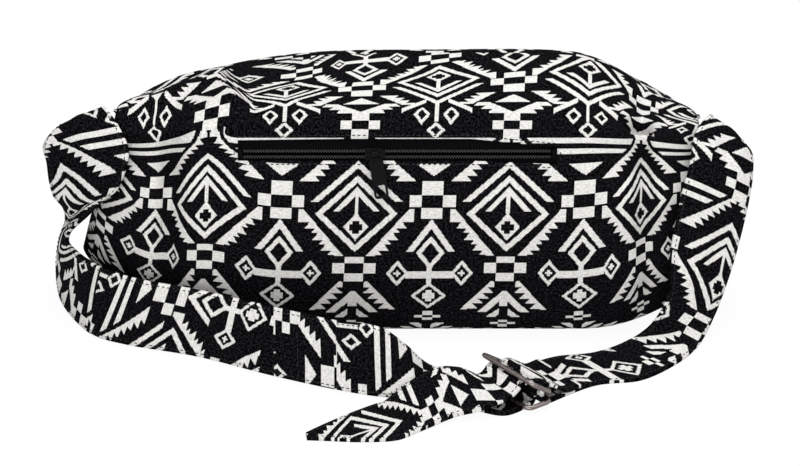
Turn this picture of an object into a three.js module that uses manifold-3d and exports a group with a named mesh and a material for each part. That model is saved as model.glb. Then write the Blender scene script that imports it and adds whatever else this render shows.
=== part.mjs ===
// Cloth fanny pack: a stuffed bag with a zip in its front, two wide straps and a double-ring slip lock.
// Millimetres, +Z up. The bag's front faces -Y and the origin is the middle of its flat base.
// Inside the root group, y is counted from the bag's foremost face.

import * as THREE from 'three';
import { mergeVertices } from 'three/addons/utils/BufferGeometryUtils.js';
import Module from 'manifold-3d';

const wasm = await Module();
wasm.setup();

const degrees = THREE.MathUtils.degToRad;

// Bag
const BAG_LENGTH = 364; // between the tops of the end seams
const BAG_DEPTH = 116;
const BAG_HEIGHT = 158;
const END_SEAM_LOW = 34; // heights where the end seams start and stop
const END_SEAM_HIGH_LEFT = 132;
const END_SEAM_HIGH_RIGHT = 127;
const END_FLARE = 22; // the end seams stand this much further out at their feet
const BASE_FRONT = 20; // the flat base, between these two distances from the front
const BASE_BACK_INSET = 18;
const TOE_HEIGHT = 3; // height of the bottom seam
const TOE_SETBACK = 8;
const CROWN_SETBACK = 31; // the top seam lies this far in front of the back
const CROWN_DROP_LEFT = 12; // fall of the crown at each end of the straight stretch
const CROWN_DROP_RIGHT = 3.6;
const CROWN_BOW_LEFT = 2.5; // power of the way from the middle by which it falls
const CROWN_BOW_RIGHT = 6;
const CROWN_FALL_LIMIT = 28;
const SHOULDER = 77; // the height starts to close this far from each end seam
const SHOULDER_HIGH = 1.5; // how fast it closes at the crown and at the base
const SHOULDER_LOW = 2.5;
const CLOTH = 1.8; // outer cloth with its lining
const PRESSED = 0.25; // share of that thickness left in the end seams
const SEAM_GAP = 0.3; // between sewn pieces
const TOE_BULGE = 14; // the face swells this far in front of the toe's tangent point, and this high over it
const TOE_ROUND = 13;
const LIP_ROUND = 6;
const FACE_RISE = 0.44; // handles of the section's curves, as shares of the height or length that each spans
const FRONT_SHOULDER = 0.65;
const CROWN_FLAT_FRONT = 0.45;
const CROWN_FLAT_BACK = 0.68;
const REAR_HEIGHT = 0.58; // the back is fullest at this share of the height
const REAR_HANDLE_HIGH = 0.8;
const REAR_HANDLE_LOW = 0.27;

// Folds
const CREASE_FROM_END = 35; // upright fold in front of each end seam
const CREASE_DEPTH = 7;
const CREASE_WIDTH = 9;
const PLEATS = 5; // gathers along each end
const PLEAT_DEPTH = 2.2;
const FOLD_FOOT = 30; // the folds die out below this height

// Zip
const ZIP_HEIGHT = 118; // zip line above the table
const ZIP_SETBACK = 24; // zip line behind the foremost face
const ZIP_LEAN = degrees(24); // the front leans back here
const ZIP_CENTRE_X = -6;
const WINDOW_LENGTH = 200;
const WINDOW_WIDTH = 13;
const WINDOW_MARGIN = 10; // flat cloth above and below the window
const WINDOW_END_MARGIN = 9; // between the window and the rounded ends of the bag
const TAPE_WIDTH = 12;
const TAPE_THICKNESS = 0.8;
const TAPE_OVERHANG = 8; // tape past each end of the window
const CHAIN_GAP = 1.2; // between the two rows of teeth
const COIL_WIDTH = 2.4;
const COIL_HEIGHT = 2;
const COIL_PITCH = 2.5;
const COIL_ROOT = 1; // solid back of the row of teeth
const TOOTH_RISE = 0.2; // shares of the pitch: flank, flat tip, and the end of the falling flank
const TOOTH_TIP_END = 0.55;
const TOOTH_FALL_END = 0.75;
const STOP_LENGTH = 3;

// Slider and pull
const SLIDER_X = -20; // rest place along the bag
const SLIDER_LENGTH = 12.5;
const SLIDER_TAPER = 1.6; // the closed end is this much narrower than the open end
const SLIDER_ROUND = 1.5; // corners of the open end; those of the closed end are twice as round
const PLATE = 1.3;
const FLANGE = 0.8;
const FLANGE_INSET = 2; // flanges and post end this far inside the plates
const POST_LENGTH = 3;
const POST_CLEARANCE = 0.25;
const BAIL_RADIUS = 0.8;
const BAIL_LENGTH = 8.2;
const EYE_RADIUS = 1.45; // hole of the pull's knuckle
const EYE_WALL = 0.85;
const EYE_WIDTH = 4;
const PULL_LENGTH = 28;
const PULL_WIDTH = 9;
const PULL_THICKNESS = 1.4;
const PULL_TILT = degrees(9); // it hangs a little askew
const PULL_SHOULDER = 3; // length over which the knuckle widens to the tab
const PULL_ROUND = 2.4;
const RIDGE_HEIGHT = 0.5; // raised bar above the slot
const RIDGE_LENGTH = 1.3;
const SLOT_WIDTH = 6;
const SLOT_LENGTH = 6.4;
const SLOT_RIM = 1.9;

// Straps and rings
const STRAP_WIDTH = 43; // at the rings
const STRAP_THICKNESS = 2.2;
const ROOT_WIDTH = 22; // gathered where it is sewn to an end seam
const ROOT_DROP = 10; // below the top of the seam
const ROOT_STANDOFF = 1; // middle of the strap's end beyond the end seam
const LOCK_X = 67; // middle of the rings
const LOCK_Y = -75;
const LOCK_HEADING = degrees(38);
const RING_WIRE = 3.2;
const RING_WIDTH = 54; // outside
const RING_LENGTH = 21.2;
const RING_CORNER = 4;
const RING_LIFT = degrees(35); // the strap under it holds the upper ring's free bar up
const BUNCHED = 0.8; // the strap is this much narrower inside the rings
const LOOP_SEWN = 27; // from the held bars to the end of the sewn loop
const LOOP_ENTRY = 12; // the strap is level this far before that end
const LOOP_BEND = 2;

const halfLength = BAG_LENGTH / 2;
const halfStraight = WINDOW_LENGTH / 2 + Math.abs(ZIP_CENTRE_X) + WINDOW_END_MARGIN;
const seamY = BAG_DEPTH / 2; // the end seams stand in the middle of the depth
const clothColour = 0x2a292c;
const strapColour = 0x343236;

const cloth = (color) => new THREE.MeshStandardMaterial({ color, roughness: 0.95, metalness: 0 });
const nylon = () => new THREE.MeshStandardMaterial({ color: 0x101012, roughness: 0.55, metalness: 0 });
const blackMetal = () => new THREE.MeshStandardMaterial({ color: 0x141416, roughness: 0.4, metalness: 0.6 });
const gunmetal = () => new THREE.MeshStandardMaterial({ color: 0x4a4241, roughness: 0.3, metalness: 1 });

// Closed body of constant thickness over a grid of points rows[i][j]. Cells that skip(i, j) names are left
// open. The faces look along i cross j; the thickness goes from `above` the grid to `below(i)` under it.
// At a sewn edge seamNormal(i, j) gives the normal that both sewn pieces share.
function sheetGeometry(rows, above, below, { skip = () => false, seamNormal = () => null } = {}) {
  const ni = rows.length;
  const nj = rows[0].length;
  const normals = rows.map((row) => row.map(() => new THREE.Vector3()));
  const cells = [];
  for (let i = 0; i + 1 < ni; i++) {
    for (let j = 0; j + 1 < nj; j++) {
      const corners = [[i, j], [i + 1, j], [i + 1, j + 1], [i, j + 1]];
      const [a, b, c, d] = corners.map(([p, q]) => rows[p][q]);
      const normal = new THREE.Vector3().subVectors(c, a).cross(new THREE.Vector3().subVectors(d, b));
      corners.forEach(([p, q]) => normals[p][q].add(normal));
      if (!skip(i, j)) cells.push(corners.map(([p, q]) => p * nj + q));
    }
  }
  normals.forEach((row, i) => row.forEach((normal, j) => {
    normal.copy(seamNormal(i, j) ?? normal).normalize();
  }));
  const positions = [];
  for (const offset of [() => above, (i) => -below(i)]) {
    rows.forEach((row, i) => row.forEach((point, j) => {
      positions.push(...point.clone().addScaledVector(normals[i][j], offset(i)).toArray());
    }));
  }
  const under = ni * nj;
  const index = [];
  const edges = new Map();
  for (const [a, b, c, d] of cells) {
    index.push(a, b, c, a, c, d);
    index.push(under + a, under + c, under + b, under + a, under + d, under + c);
    for (const [from, to] of [[a, b], [b, c], [c, d], [d, a]]) edges.set(`${from} ${to}`, [from, to]);
  }
  for (const [from, to] of edges.values()) {
    if (edges.has(`${to} ${from}`)) continue;
    // Two sewn pieces run along their seam in opposite directions; both split its wall on one diagonal
    if (from < to) index.push(to, from, under + from, to, under + from, under + to);
    else index.push(to, from, under + to, from, under + from, under + to);
  }
  const geometry = new THREE.BufferGeometry();
  geometry.setAttribute('position', new THREE.Float32BufferAttribute(positions, 3));
  geometry.setIndex(index);
  return weld(geometry);
}

// One shared point per corner, and none that no triangle uses
function weld(geometry) {
  const bare = geometry.index ? geometry.toNonIndexed() : geometry.clone();
  bare.deleteAttribute('normal');
  bare.deleteAttribute('uv');
  return mergeVertices(bare, 1e-5);
}

function solid(geometry) {
  const merged = weld(geometry);
  return new wasm.Manifold(new wasm.Mesh({
    numProp: 3,
    vertProperties: new Float32Array(merged.attributes.position.array),
    triVerts: new Uint32Array(merged.index.array),
  }));
}

function geometryOf(manifold) {
  const mesh = manifold.getMesh();
  const geometry = new THREE.BufferGeometry();
  geometry.setAttribute('position', new THREE.BufferAttribute(mesh.vertProperties, 3));
  geometry.setIndex(new THREE.BufferAttribute(mesh.triVerts, 1));
  return geometry;
}

function node(name, geometry, material) {
  const mesh = new THREE.Mesh(geometry, material);
  mesh.name = name;
  return mesh;
}

function box(x0, x1, y0, y1, z0, z1) {
  const geometry = new THREE.BoxGeometry(x1 - x0, y1 - y0, z1 - z0);
  return geometry.translate((x0 + x1) / 2, (y0 + y1) / 2, (z0 + z1) / 2);
}

// Section of the bag at mid length, as points (y, z)
const bandUp = new THREE.Vector2(Math.sin(ZIP_LEAN), Math.cos(ZIP_LEAN));
const zipLine = new THREE.Vector2(ZIP_SETBACK, ZIP_HEIGHT);
const bandHalf = WINDOW_WIDTH / 2 + WINDOW_MARGIN;
const bandPoint = (t) => zipLine.clone().addScaledVector(bandUp, t);
const toe = new THREE.Vector2(TOE_SETBACK, TOE_HEIGHT);
const crown = new THREE.Vector2(BAG_DEPTH - CROWN_SETBACK, BAG_HEIGHT);
const baseBack = BAG_DEPTH - BASE_BACK_INSET;

function bezier(points, steps) {
  return new THREE.CubicBezierCurve(...points.map(([y, z]) => new THREE.Vector2(y, z))).getPoints(steps);
}

const faceSteps = 8;
const topSteps = 6;
const backTopSteps = 5;
const downSteps = 6;
const lipSteps = 3;
const windowRow = faceSteps + 1; // section point at the window's lower edge; the next is at its upper edge

function frontSection() {
  const low = bandPoint(-bandHalf);
  const high = bandPoint(bandHalf);
  const rise = FACE_RISE * (low.y - toe.y);
  const shoulder = FRONT_SHOULDER * (crown.y - high.y);
  const face = bezier([
    [toe.x, toe.y],
    [toe.x - TOE_BULGE, toe.y + TOE_ROUND],
    [low.x - bandUp.x * rise, low.y - bandUp.y * rise],
    [low.x, low.y],
  ], faceSteps);
  const top = bezier([
    [high.x, high.y],
    [high.x + bandUp.x * shoulder, high.y + bandUp.y * shoulder],
    [crown.x - CROWN_FLAT_FRONT * (crown.x - high.x), crown.y],
    [crown.x, crown.y],
  ], topSteps);
  return [...face, bandPoint(-WINDOW_WIDTH / 2), bandPoint(WINDOW_WIDTH / 2), ...top];
}

function backSection() {
  const rear = [BAG_DEPTH, REAR_HEIGHT * BAG_HEIGHT];
  const top = bezier([
    [crown.x, crown.y],
    [crown.x + CROWN_FLAT_BACK * CROWN_SETBACK, crown.y],
    [BAG_DEPTH, REAR_HANDLE_HIGH * BAG_HEIGHT],
    rear,
  ], backTopSteps);
  const down = bezier([
    rear,
    [BAG_DEPTH, REAR_HANDLE_LOW * BAG_HEIGHT],
    [BAG_DEPTH, 0],
    [baseBack, 0],
  ], downSteps);
  const base = [new THREE.Vector2(seamY, 0), new THREE.Vector2(BASE_FRONT, 0)];
  const lip = bezier([
    [BASE_FRONT, 0],
    [BASE_FRONT - LIP_ROUND, 0],
    [toe.x + TOE_HEIGHT, 0],
    [toe.x, toe.y],
  ], lipSteps);
  return [...top, ...down.slice(1), ...base, ...lip.slice(1)];
}

// Places along the bag: round caps at both ends, and the window's ends among the middle ones
function stations() {
  const capSteps = 9;
  const cap = [];
  for (let k = 0; k < capSteps; k++) {
    const angle = Math.PI / 2 * (1 - k / capSteps);
    const slim = angle === Math.PI / 2 ? 0 : Math.cos(angle);
    const out = Math.sin(angle);
    cap.push({ x: halfStraight + (halfLength - halfStraight) * out, depth: slim });
  }
  const windowLeft = ZIP_CENTRE_X - WINDOW_LENGTH / 2;
  const windowRight = windowLeft + WINDOW_LENGTH;
  const middleSteps = 8;
  const middle = [-halfStraight];
  for (let k = 0; k <= middleSteps; k++) middle.push(windowLeft + WINDOW_LENGTH * k / middleSteps);
  middle.push(halfStraight);
  return [
    ...cap.map((s) => ({ ...s, x: -s.x })),
    ...middle.map((x) => ({ x, depth: 1, inWindow: x >= windowLeft && x < windowRight })),
    ...cap.reverse(),
  ];
}

// How far into its rounded end a place is, from 0 to 1 at the seam
const reachAt = (x) => Math.max(0, (Math.abs(x) - halfStraight) / (halfLength - halfStraight));

// Rise and fall of the cloth along its outward normal: one upright crease and soft gathers near each end
function foldHeight(x, share, creased) {
  const reach = reachAt(x);
  const fade = Math.sin(Math.PI * share) * Math.sin(Math.PI * Math.min(1, reach)) ** 0.7;
  const fromCrease = (Math.abs(x) - (halfLength - CREASE_FROM_END)) / CREASE_WIDTH;
  const crease = creased ? CREASE_DEPTH * Math.exp(-fromCrease * fromCrease) * Math.sin(Math.PI * share) : 0;
  const gathers = PLEAT_DEPTH * Math.cos(2 * Math.PI * PLEATS * share) * fade;
  return (reach > 0 ? gathers - crease : 0);
}

const seamTop = (x) => (x < 0 ? END_SEAM_HIGH_LEFT : END_SEAM_HIGH_RIGHT);

// Height of a section point at place x: the crown falls towards both ends, which close to their seams
function heightAt(x, z) {
  const share = z / BAG_HEIGHT;
  const [drop, bow] = x < 0 ? [CROWN_DROP_LEFT, CROWN_BOW_LEFT] : [CROWN_DROP_RIGHT, CROWN_BOW_RIGHT];
  const slump = Math.min(drop * (Math.abs(x) / halfStraight) ** bow, CROWN_FALL_LIMIT);
  const fall = slump * THREE.MathUtils.smoothstep(z, bandPoint(bandHalf).y, BAG_HEIGHT);
  const endZ = THREE.MathUtils.lerp(END_SEAM_LOW, seamTop(x), share);
  const closed = Math.max(0, 1 - (halfLength - Math.abs(x)) / SHOULDER);
  const lift = 1 - closed ** THREE.MathUtils.lerp(SHOULDER_LOW, SHOULDER_HIGH, share);
  return endZ + lift * (z - fall - endZ);
}

const flareAt = (share) => END_FLARE * (1 - share);

// Panel over the whole length: side is -1 in front of the end seams and +1 behind them
function panel(section, side, creased) {
  const points = section.map((p) => p.clone());
  const last = points.length - 1;
  const trim = (from, to) => to.clone().sub(from).setLength(SEAM_GAP / 2).add(from);
  const ends = [trim(points[0], points[1]), trim(points[last], points[last - 1])];
  points[0] = ends[0];
  points[last] = ends[1];
  const outward = points.map((p, j) => {
    const along = points[Math.min(last, j + 1)].clone().sub(points[Math.max(0, j - 1)]).normalize();
    return new THREE.Vector2(-along.y, along.x);
  });
  return stations().map((station) => points.map((p, j) => {
    const clear = THREE.MathUtils.smoothstep(p.y, 0, FOLD_FOOT);
    const fold = foldHeight(station.x, j / last, creased) * station.depth * clear;
    const y = seamY + station.depth * (p.x - seamY) + side * (1 - station.depth) * SEAM_GAP;
    const z = heightAt(station.x, p.y);
    const x = station.x + Math.sign(station.x) * flareAt(p.y / BAG_HEIGHT) * reachAt(station.x) ** 2;
    return new THREE.Vector3(x, y + outward[j].x * fold, z + outward[j].y * fold);
  }));
}

const frontRows = panel(frontSection(), -1, true);
const backRows = panel(backSection(), 1, false);

// Normal on the rim that is sewn to the other panel's rows
function rimNormal(rows, others, i, j) {
  const last = rows[i].length - 1;
  if (i === 0 || i === rows.length - 1) return new THREE.Vector3(Math.sign(rows[i][j].x), 0, 0);
  if (j !== 0 && j !== last) return null;
  const before = j === 0 ? others[i].at(-2) : rows[i][last - 1];
  const after = j === 0 ? rows[i][1] : others[i][1];
  const along = rows[i + 1][j].clone().sub(rows[i - 1][j]);
  return along.cross(after.clone().sub(before));
}

// The cloth is pressed flat in the end seams
const places = stations();
const clothAt = (i) => CLOTH * THREE.MathUtils.lerp(PRESSED, 1, Math.min(1, 2 * places[i].depth));

function frontPanel() {
  const geometry = sheetGeometry(frontRows, 0, clothAt, {
    skip: (i, j) => places[i].inWindow && j === windowRow,
    seamNormal: (i, j) => rimNormal(frontRows, backRows, i, j),
  });
  return node('front_panel', geometry, cloth(clothColour));
}

function backPanel() {
  const geometry = sheetGeometry(backRows, 0, clothAt, {
    seamNormal: (i, j) => rimNormal(backRows, frontRows, i, j),
  });
  return node('back_panel', geometry, cloth(clothColour));
}

// Zip: in this group x runs along the zip, y up the leaning band, z out of the cloth's outer face
const tapeTop = -CLOTH - SEAM_GAP;
const tapeBottom = tapeTop - TAPE_THICKNESS;
const coilBottom = tapeTop + SEAM_GAP;
const coilTop = coilBottom + COIL_HEIGHT;
const chainHalf = CHAIN_GAP / 2;
const chainLength = WINDOW_LENGTH - 2 * (STOP_LENGTH + 2 * SEAM_GAP);

function zipTape(name, side) {
  const half = WINDOW_LENGTH / 2 + TAPE_OVERHANG;
  const near = side * chainHalf;
  const far = side * (chainHalf + TAPE_WIDTH);
  const tape = box(-half, half, Math.min(near, far), Math.max(near, far), tapeBottom, tapeTop);
  return node(name, tape, nylon());
}

// One row of teeth: a comb whose teeth point at the other row
function zipCoil(name, side) {
  const count = Math.floor(chainLength / COIL_PITCH);
  const start = -count * COIL_PITCH / 2;
  const tip = chainHalf;
  const root = chainHalf + COIL_WIDTH - COIL_ROOT;
  const comb = new THREE.Shape();
  comb.moveTo(start, root + COIL_ROOT);
  for (let k = 0; k < count; k++) {
    const x = start + k * COIL_PITCH;
    comb.lineTo(x, root);
    comb.lineTo(x + TOOTH_RISE * COIL_PITCH, tip);
    comb.lineTo(x + TOOTH_TIP_END * COIL_PITCH, tip);
    comb.lineTo(x + TOOTH_FALL_END * COIL_PITCH, root);
  }
  comb.lineTo(-start, root);
  comb.lineTo(-start, root + COIL_ROOT);
  const geometry = new THREE.ExtrudeGeometry(comb, { depth: COIL_HEIGHT, bevelEnabled: false });
  if (side < 0) geometry.rotateZ(Math.PI);
  return node(name, weld(geometry.translate(0, 0, coilBottom)), nylon());
}

function zipStop(name, side) {
  const near = side * (chainLength / 2 + SEAM_GAP);
  const far = side * (chainLength / 2 + SEAM_GAP + STOP_LENGTH);
  const half = chainHalf + COIL_WIDTH;
  const stop = box(Math.min(near, far), Math.max(near, far), -half, half, coilBottom, coilTop);
  return node(name, stop, nylon());
}

// Slider: two plates round the chain, joined by the post between the rows, with a bail for the pull
const sliderHalf = chainHalf + COIL_WIDTH + SEAM_GAP + FLANGE;
const plateTop = coilTop + SEAM_GAP + PLATE;
const bailHeight = plateTop + SEAM_GAP + EYE_RADIUS + EYE_WALL;

function sliderPlate() {
  const x = SLIDER_LENGTH / 2;
  const narrow = sliderHalf - SLIDER_TAPER / 2;
  const round = SLIDER_ROUND;
  const outline = new THREE.Shape();
  outline.moveTo(-x, sliderHalf - round);
  outline.quadraticCurveTo(-x, sliderHalf, -x + round, sliderHalf);
  outline.lineTo(x - 2 * round, narrow);
  outline.quadraticCurveTo(x, narrow, x, narrow - 2 * round);
  outline.lineTo(x, -narrow + 2 * round);
  outline.quadraticCurveTo(x, -narrow, x - 2 * round, -narrow);
  outline.lineTo(-x + round, -sliderHalf);
  outline.quadraticCurveTo(-x, -sliderHalf, -x, -sliderHalf + round);
  outline.closePath();
  return new THREE.ExtrudeGeometry(outline, { depth: PLATE, bevelEnabled: false, curveSegments: 3 });
}

function zipSlider() {
  const postHalf = chainHalf - POST_CLEARANCE;
  const inset = SLIDER_LENGTH / 2 - FLANGE_INSET;
  const bailX = BAIL_LENGTH / 2;
  const foot = 2 * BAIL_RADIUS;
  const bar = new THREE.CylinderGeometry(BAIL_RADIUS, BAIL_RADIUS, BAIL_LENGTH - foot, 10);
  let slider = solid(sliderPlate().translate(0, 0, coilTop + SEAM_GAP));
  slider = slider.add(solid(sliderPlate().translate(0, 0, tapeBottom - SEAM_GAP - PLATE)));
  slider = slider.add(solid(box(
    -inset, -inset + POST_LENGTH, -postHalf, postHalf,
    tapeBottom - SEAM_GAP - PLATE / 2, plateTop - PLATE / 2,
  )));
  for (const side of [-1, 1]) {
    const inner = side * (sliderHalf - FLANGE);
    const outer = side * (sliderHalf - SLIDER_TAPER / 4);
    slider = slider.add(solid(box(
      -inset, inset, Math.min(inner, outer), Math.max(inner, outer),
      tapeTop + SEAM_GAP, plateTop - PLATE / 2,
    )));
    slider = slider.add(solid(box(
      side * bailX - foot / 2, side * bailX + foot / 2, -BAIL_RADIUS, BAIL_RADIUS,
      plateTop - PLATE / 2, bailHeight + BAIL_RADIUS,
    )));
  }
  slider = slider.add(solid(bar.rotateZ(Math.PI / 2).translate(0, 0, bailHeight)));
  return node('zip_slider', geometryOf(slider), blackMetal());
}

// Pull: a knuckle round the bail's bar, a flat tab and a slotted end
function zipPull() {
  const knuckleRadius = EYE_RADIUS + EYE_WALL;
  const half = PULL_WIDTH / 2;
  const neck = EYE_WIDTH / 2;
  const tab = new THREE.Shape();
  const shoulder = -knuckleRadius - EYE_WALL;
  tab.moveTo(-neck, 0);
  tab.lineTo(-neck, -knuckleRadius);
  tab.quadraticCurveTo(-half, shoulder, -half, shoulder - PULL_SHOULDER);
  tab.lineTo(-half, -PULL_LENGTH + PULL_ROUND);
  tab.quadraticCurveTo(-half, -PULL_LENGTH, -half + PULL_ROUND, -PULL_LENGTH);
  tab.lineTo(half - PULL_ROUND, -PULL_LENGTH);
  tab.quadraticCurveTo(half, -PULL_LENGTH, half, -PULL_LENGTH + PULL_ROUND);
  tab.lineTo(half, shoulder - PULL_SHOULDER);
  tab.quadraticCurveTo(half, shoulder, neck, -knuckleRadius);
  tab.lineTo(neck, 0);
  tab.closePath();
  const slot = new THREE.Path();
  const low = -PULL_LENGTH + SLOT_RIM;
  slot.moveTo(-SLOT_WIDTH / 2, low);
  slot.lineTo(SLOT_WIDTH / 2, low);
  slot.lineTo(SLOT_WIDTH / 2, low + SLOT_LENGTH);
  slot.lineTo(-SLOT_WIDTH / 2, low + SLOT_LENGTH);
  slot.closePath();
  tab.holes.push(slot);
  const flat = { depth: PULL_THICKNESS, bevelEnabled: false, curveSegments: 4 };
  const plate = new THREE.ExtrudeGeometry(tab, flat).translate(0, 0, -knuckleRadius);
  const sides = 16;
  const across = (r, length) => new THREE.CylinderGeometry(r, r, length, sides).rotateZ(Math.PI / 2);
  const knuckle = across(knuckleRadius, EYE_WIDTH);
  const eye = across(EYE_RADIUS, 2 * PULL_WIDTH);
  const plateFront = PULL_THICKNESS - knuckleRadius;
  const ridgeLow = low + SLOT_LENGTH + SLOT_RIM / 2;
  const ridge = box(
    -half, half, ridgeLow, ridgeLow + RIDGE_LENGTH,
    plateFront - RIDGE_HEIGHT, plateFront + RIDGE_HEIGHT,
  );
  const pull = solid(plate).add(solid(ridge)).add(solid(knuckle)).subtract(solid(eye));
  return node('zip_pull', geometryOf(pull), blackMetal());
}

function zip() {
  const group = new THREE.Group();
  group.position.set(ZIP_CENTRE_X, ZIP_SETBACK, ZIP_HEIGHT);
  group.rotation.x = Math.PI / 2 - ZIP_LEAN;
  group.add(zipTape('zip_tape_upper', 1), zipTape('zip_tape_lower', -1));
  group.add(zipCoil('zip_coil_upper', 1), zipCoil('zip_coil_lower', -1));
  group.add(zipStop('zip_stop_left', -1), zipStop('zip_stop_right', 1));
  const slider = zipSlider();
  slider.position.x = SLIDER_X - ZIP_CENTRE_X;
  const pull = zipPull();
  pull.position.set(SLIDER_X - ZIP_CENTRE_X, 0, bailHeight);
  pull.rotation.z = PULL_TILT;
  group.add(slider, pull);
  return group;
}

// Lock: s runs along the strap towards the right strap, y to its far edge, n up from the table
const lowLayer = STRAP_THICKNESS / 2; // middle of a strap that lies on the table
const ringLow = lowLayer + STRAP_THICKNESS / 2 + SEAM_GAP + RING_WIRE / 2;
const tailLayer = ringLow + RING_WIRE / 2 + SEAM_GAP + STRAP_THICKNESS / 2;
const ringHigh = tailLayer + STRAP_THICKNESS / 2 + SEAM_GAP + RING_WIRE / 2;
const loopTop = ringHigh + RING_WIRE / 2 + SEAM_GAP + STRAP_THICKNESS / 2;
const restLayer = lowLayer + STRAP_THICKNESS + 2 * SEAM_GAP; // a second layer on the first
const barS = (RING_LENGTH - RING_WIRE) / 2; // the held bars at +barS and the free bars at -barS

function atLock(s, y, n) {
  const place = new THREE.Vector3(s, y, n).applyAxisAngle(new THREE.Vector3(0, 0, 1), LOCK_HEADING);
  return place.add(new THREE.Vector3(LOCK_X, LOCK_Y, 0));
}

const freeS = barS - 2 * barS * Math.cos(RING_LIFT); // the upper ring's free bar
const freeN = ringHigh + 2 * barS * Math.sin(RING_LIFT);
const peak = freeN - RING_WIRE / 2 - SEAM_GAP - STRAP_THICKNESS / 2; // strap under that bar

// Both edges of the strap at [s, n, share of its width]
function acrossLock([s, n, share = 1]) {
  const half = share * STRAP_WIDTH / 2;
  return [atLock(s, half, n), atLock(s, -half, n)];
}

// Rectangle of round wire with rounded corners, tipped up about its held bar
function wireRing(name, height, lift) {
  const x = barS;
  const y = (RING_WIDTH - RING_WIRE) / 2;
  const sides = 8;
  const cornerSteps = 3;
  const path = [];
  for (const [quarter, cx, cy] of [[0, 1, 1], [1, -1, 1], [2, -1, -1], [3, 1, -1]]) {
    for (let k = 0; k <= cornerSteps; k++) {
      const angle = (quarter + k / cornerSteps) * Math.PI / 2;
      const out = new THREE.Vector2(Math.cos(angle), Math.sin(angle));
      path.push({ out, at: new THREE.Vector2(cx * (x - RING_CORNER), cy * (y - RING_CORNER)) });
    }
  }
  const positions = [];
  const index = [];
  path.forEach(({ out, at }, i) => {
    for (let k = 0; k < sides; k++) {
      const turn = (k + 0.5) / sides * 2 * Math.PI;
      const reach = RING_CORNER + RING_WIRE / 2 * Math.cos(turn);
      positions.push(at.x + out.x * reach, at.y + out.y * reach, RING_WIRE / 2 * Math.sin(turn));
      const a = i * sides + k;
      const b = i * sides + (k + 1) % sides;
      const next = (i + 1) % path.length * sides;
      index.push(a, next + k, next + (k + 1) % sides, a, next + (k + 1) % sides, b);
    }
  });
  const geometry = new THREE.BufferGeometry();
  geometry.setAttribute('position', new THREE.Float32BufferAttribute(positions, 3));
  geometry.setIndex(index);
  const ring = node(name, geometry, gunmetal());
  ring.position.set(barS * (1 - Math.cos(lift)), 0, height + barS * Math.sin(lift));
  ring.rotation.y = lift;
  return ring;
}

function rings() {
  const group = new THREE.Group();
  group.position.set(LOCK_X, LOCK_Y, 0);
  group.rotation.z = LOCK_HEADING;
  group.add(wireRing('ring_bottom', ringLow, 0), wireRing('ring_top', ringHigh, RING_LIFT));
  return group;
}

// Strap between two edge curves: each place along it is a pair of edge points
function strap(name, pairs) {
  const samples = 2;
  const steps = samples * (pairs.length - 1);
  const edges = [0, 1].map((k) => new THREE.CatmullRomCurve3(pairs.map((pair) => pair[k])).getPoints(steps));
  edges.flat().forEach((point) => point.setZ(Math.max(point.z, lowLayer)));
  const rows = edges[0].map((far, i) => {
    const near = edges[1][i];
    return [far, far.clone().lerp(near, 0.5), near];
  });
  const half = STRAP_THICKNESS / 2;
  return node(name, sheetGeometry(rows, half, () => half), cloth(strapColour));
}

// Routes are in shares of the bag's half length, its depth and the strap's width; without a height a point
// lies on the table
function routePoint([x, y, z]) {
  return new THREE.Vector3(x * halfLength, y * BAG_DEPTH, z === undefined ? lowLayer : z * STRAP_WIDTH);
}
const pair = (a, b) => [routePoint(a), routePoint(b)];

// Gathered end of a strap on the upper part of an end seam
function root(side) {
  return [ROOT_DROP, ROOT_DROP + ROOT_WIDTH].map((down) => {
    const share = 1 - down / (seamTop(side) - END_SEAM_LOW);
    const x = halfLength + flareAt(share) + ROOT_STANDOFF;
    return new THREE.Vector3(side * x, seamY, seamTop(side) - down);
  });
}

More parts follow.
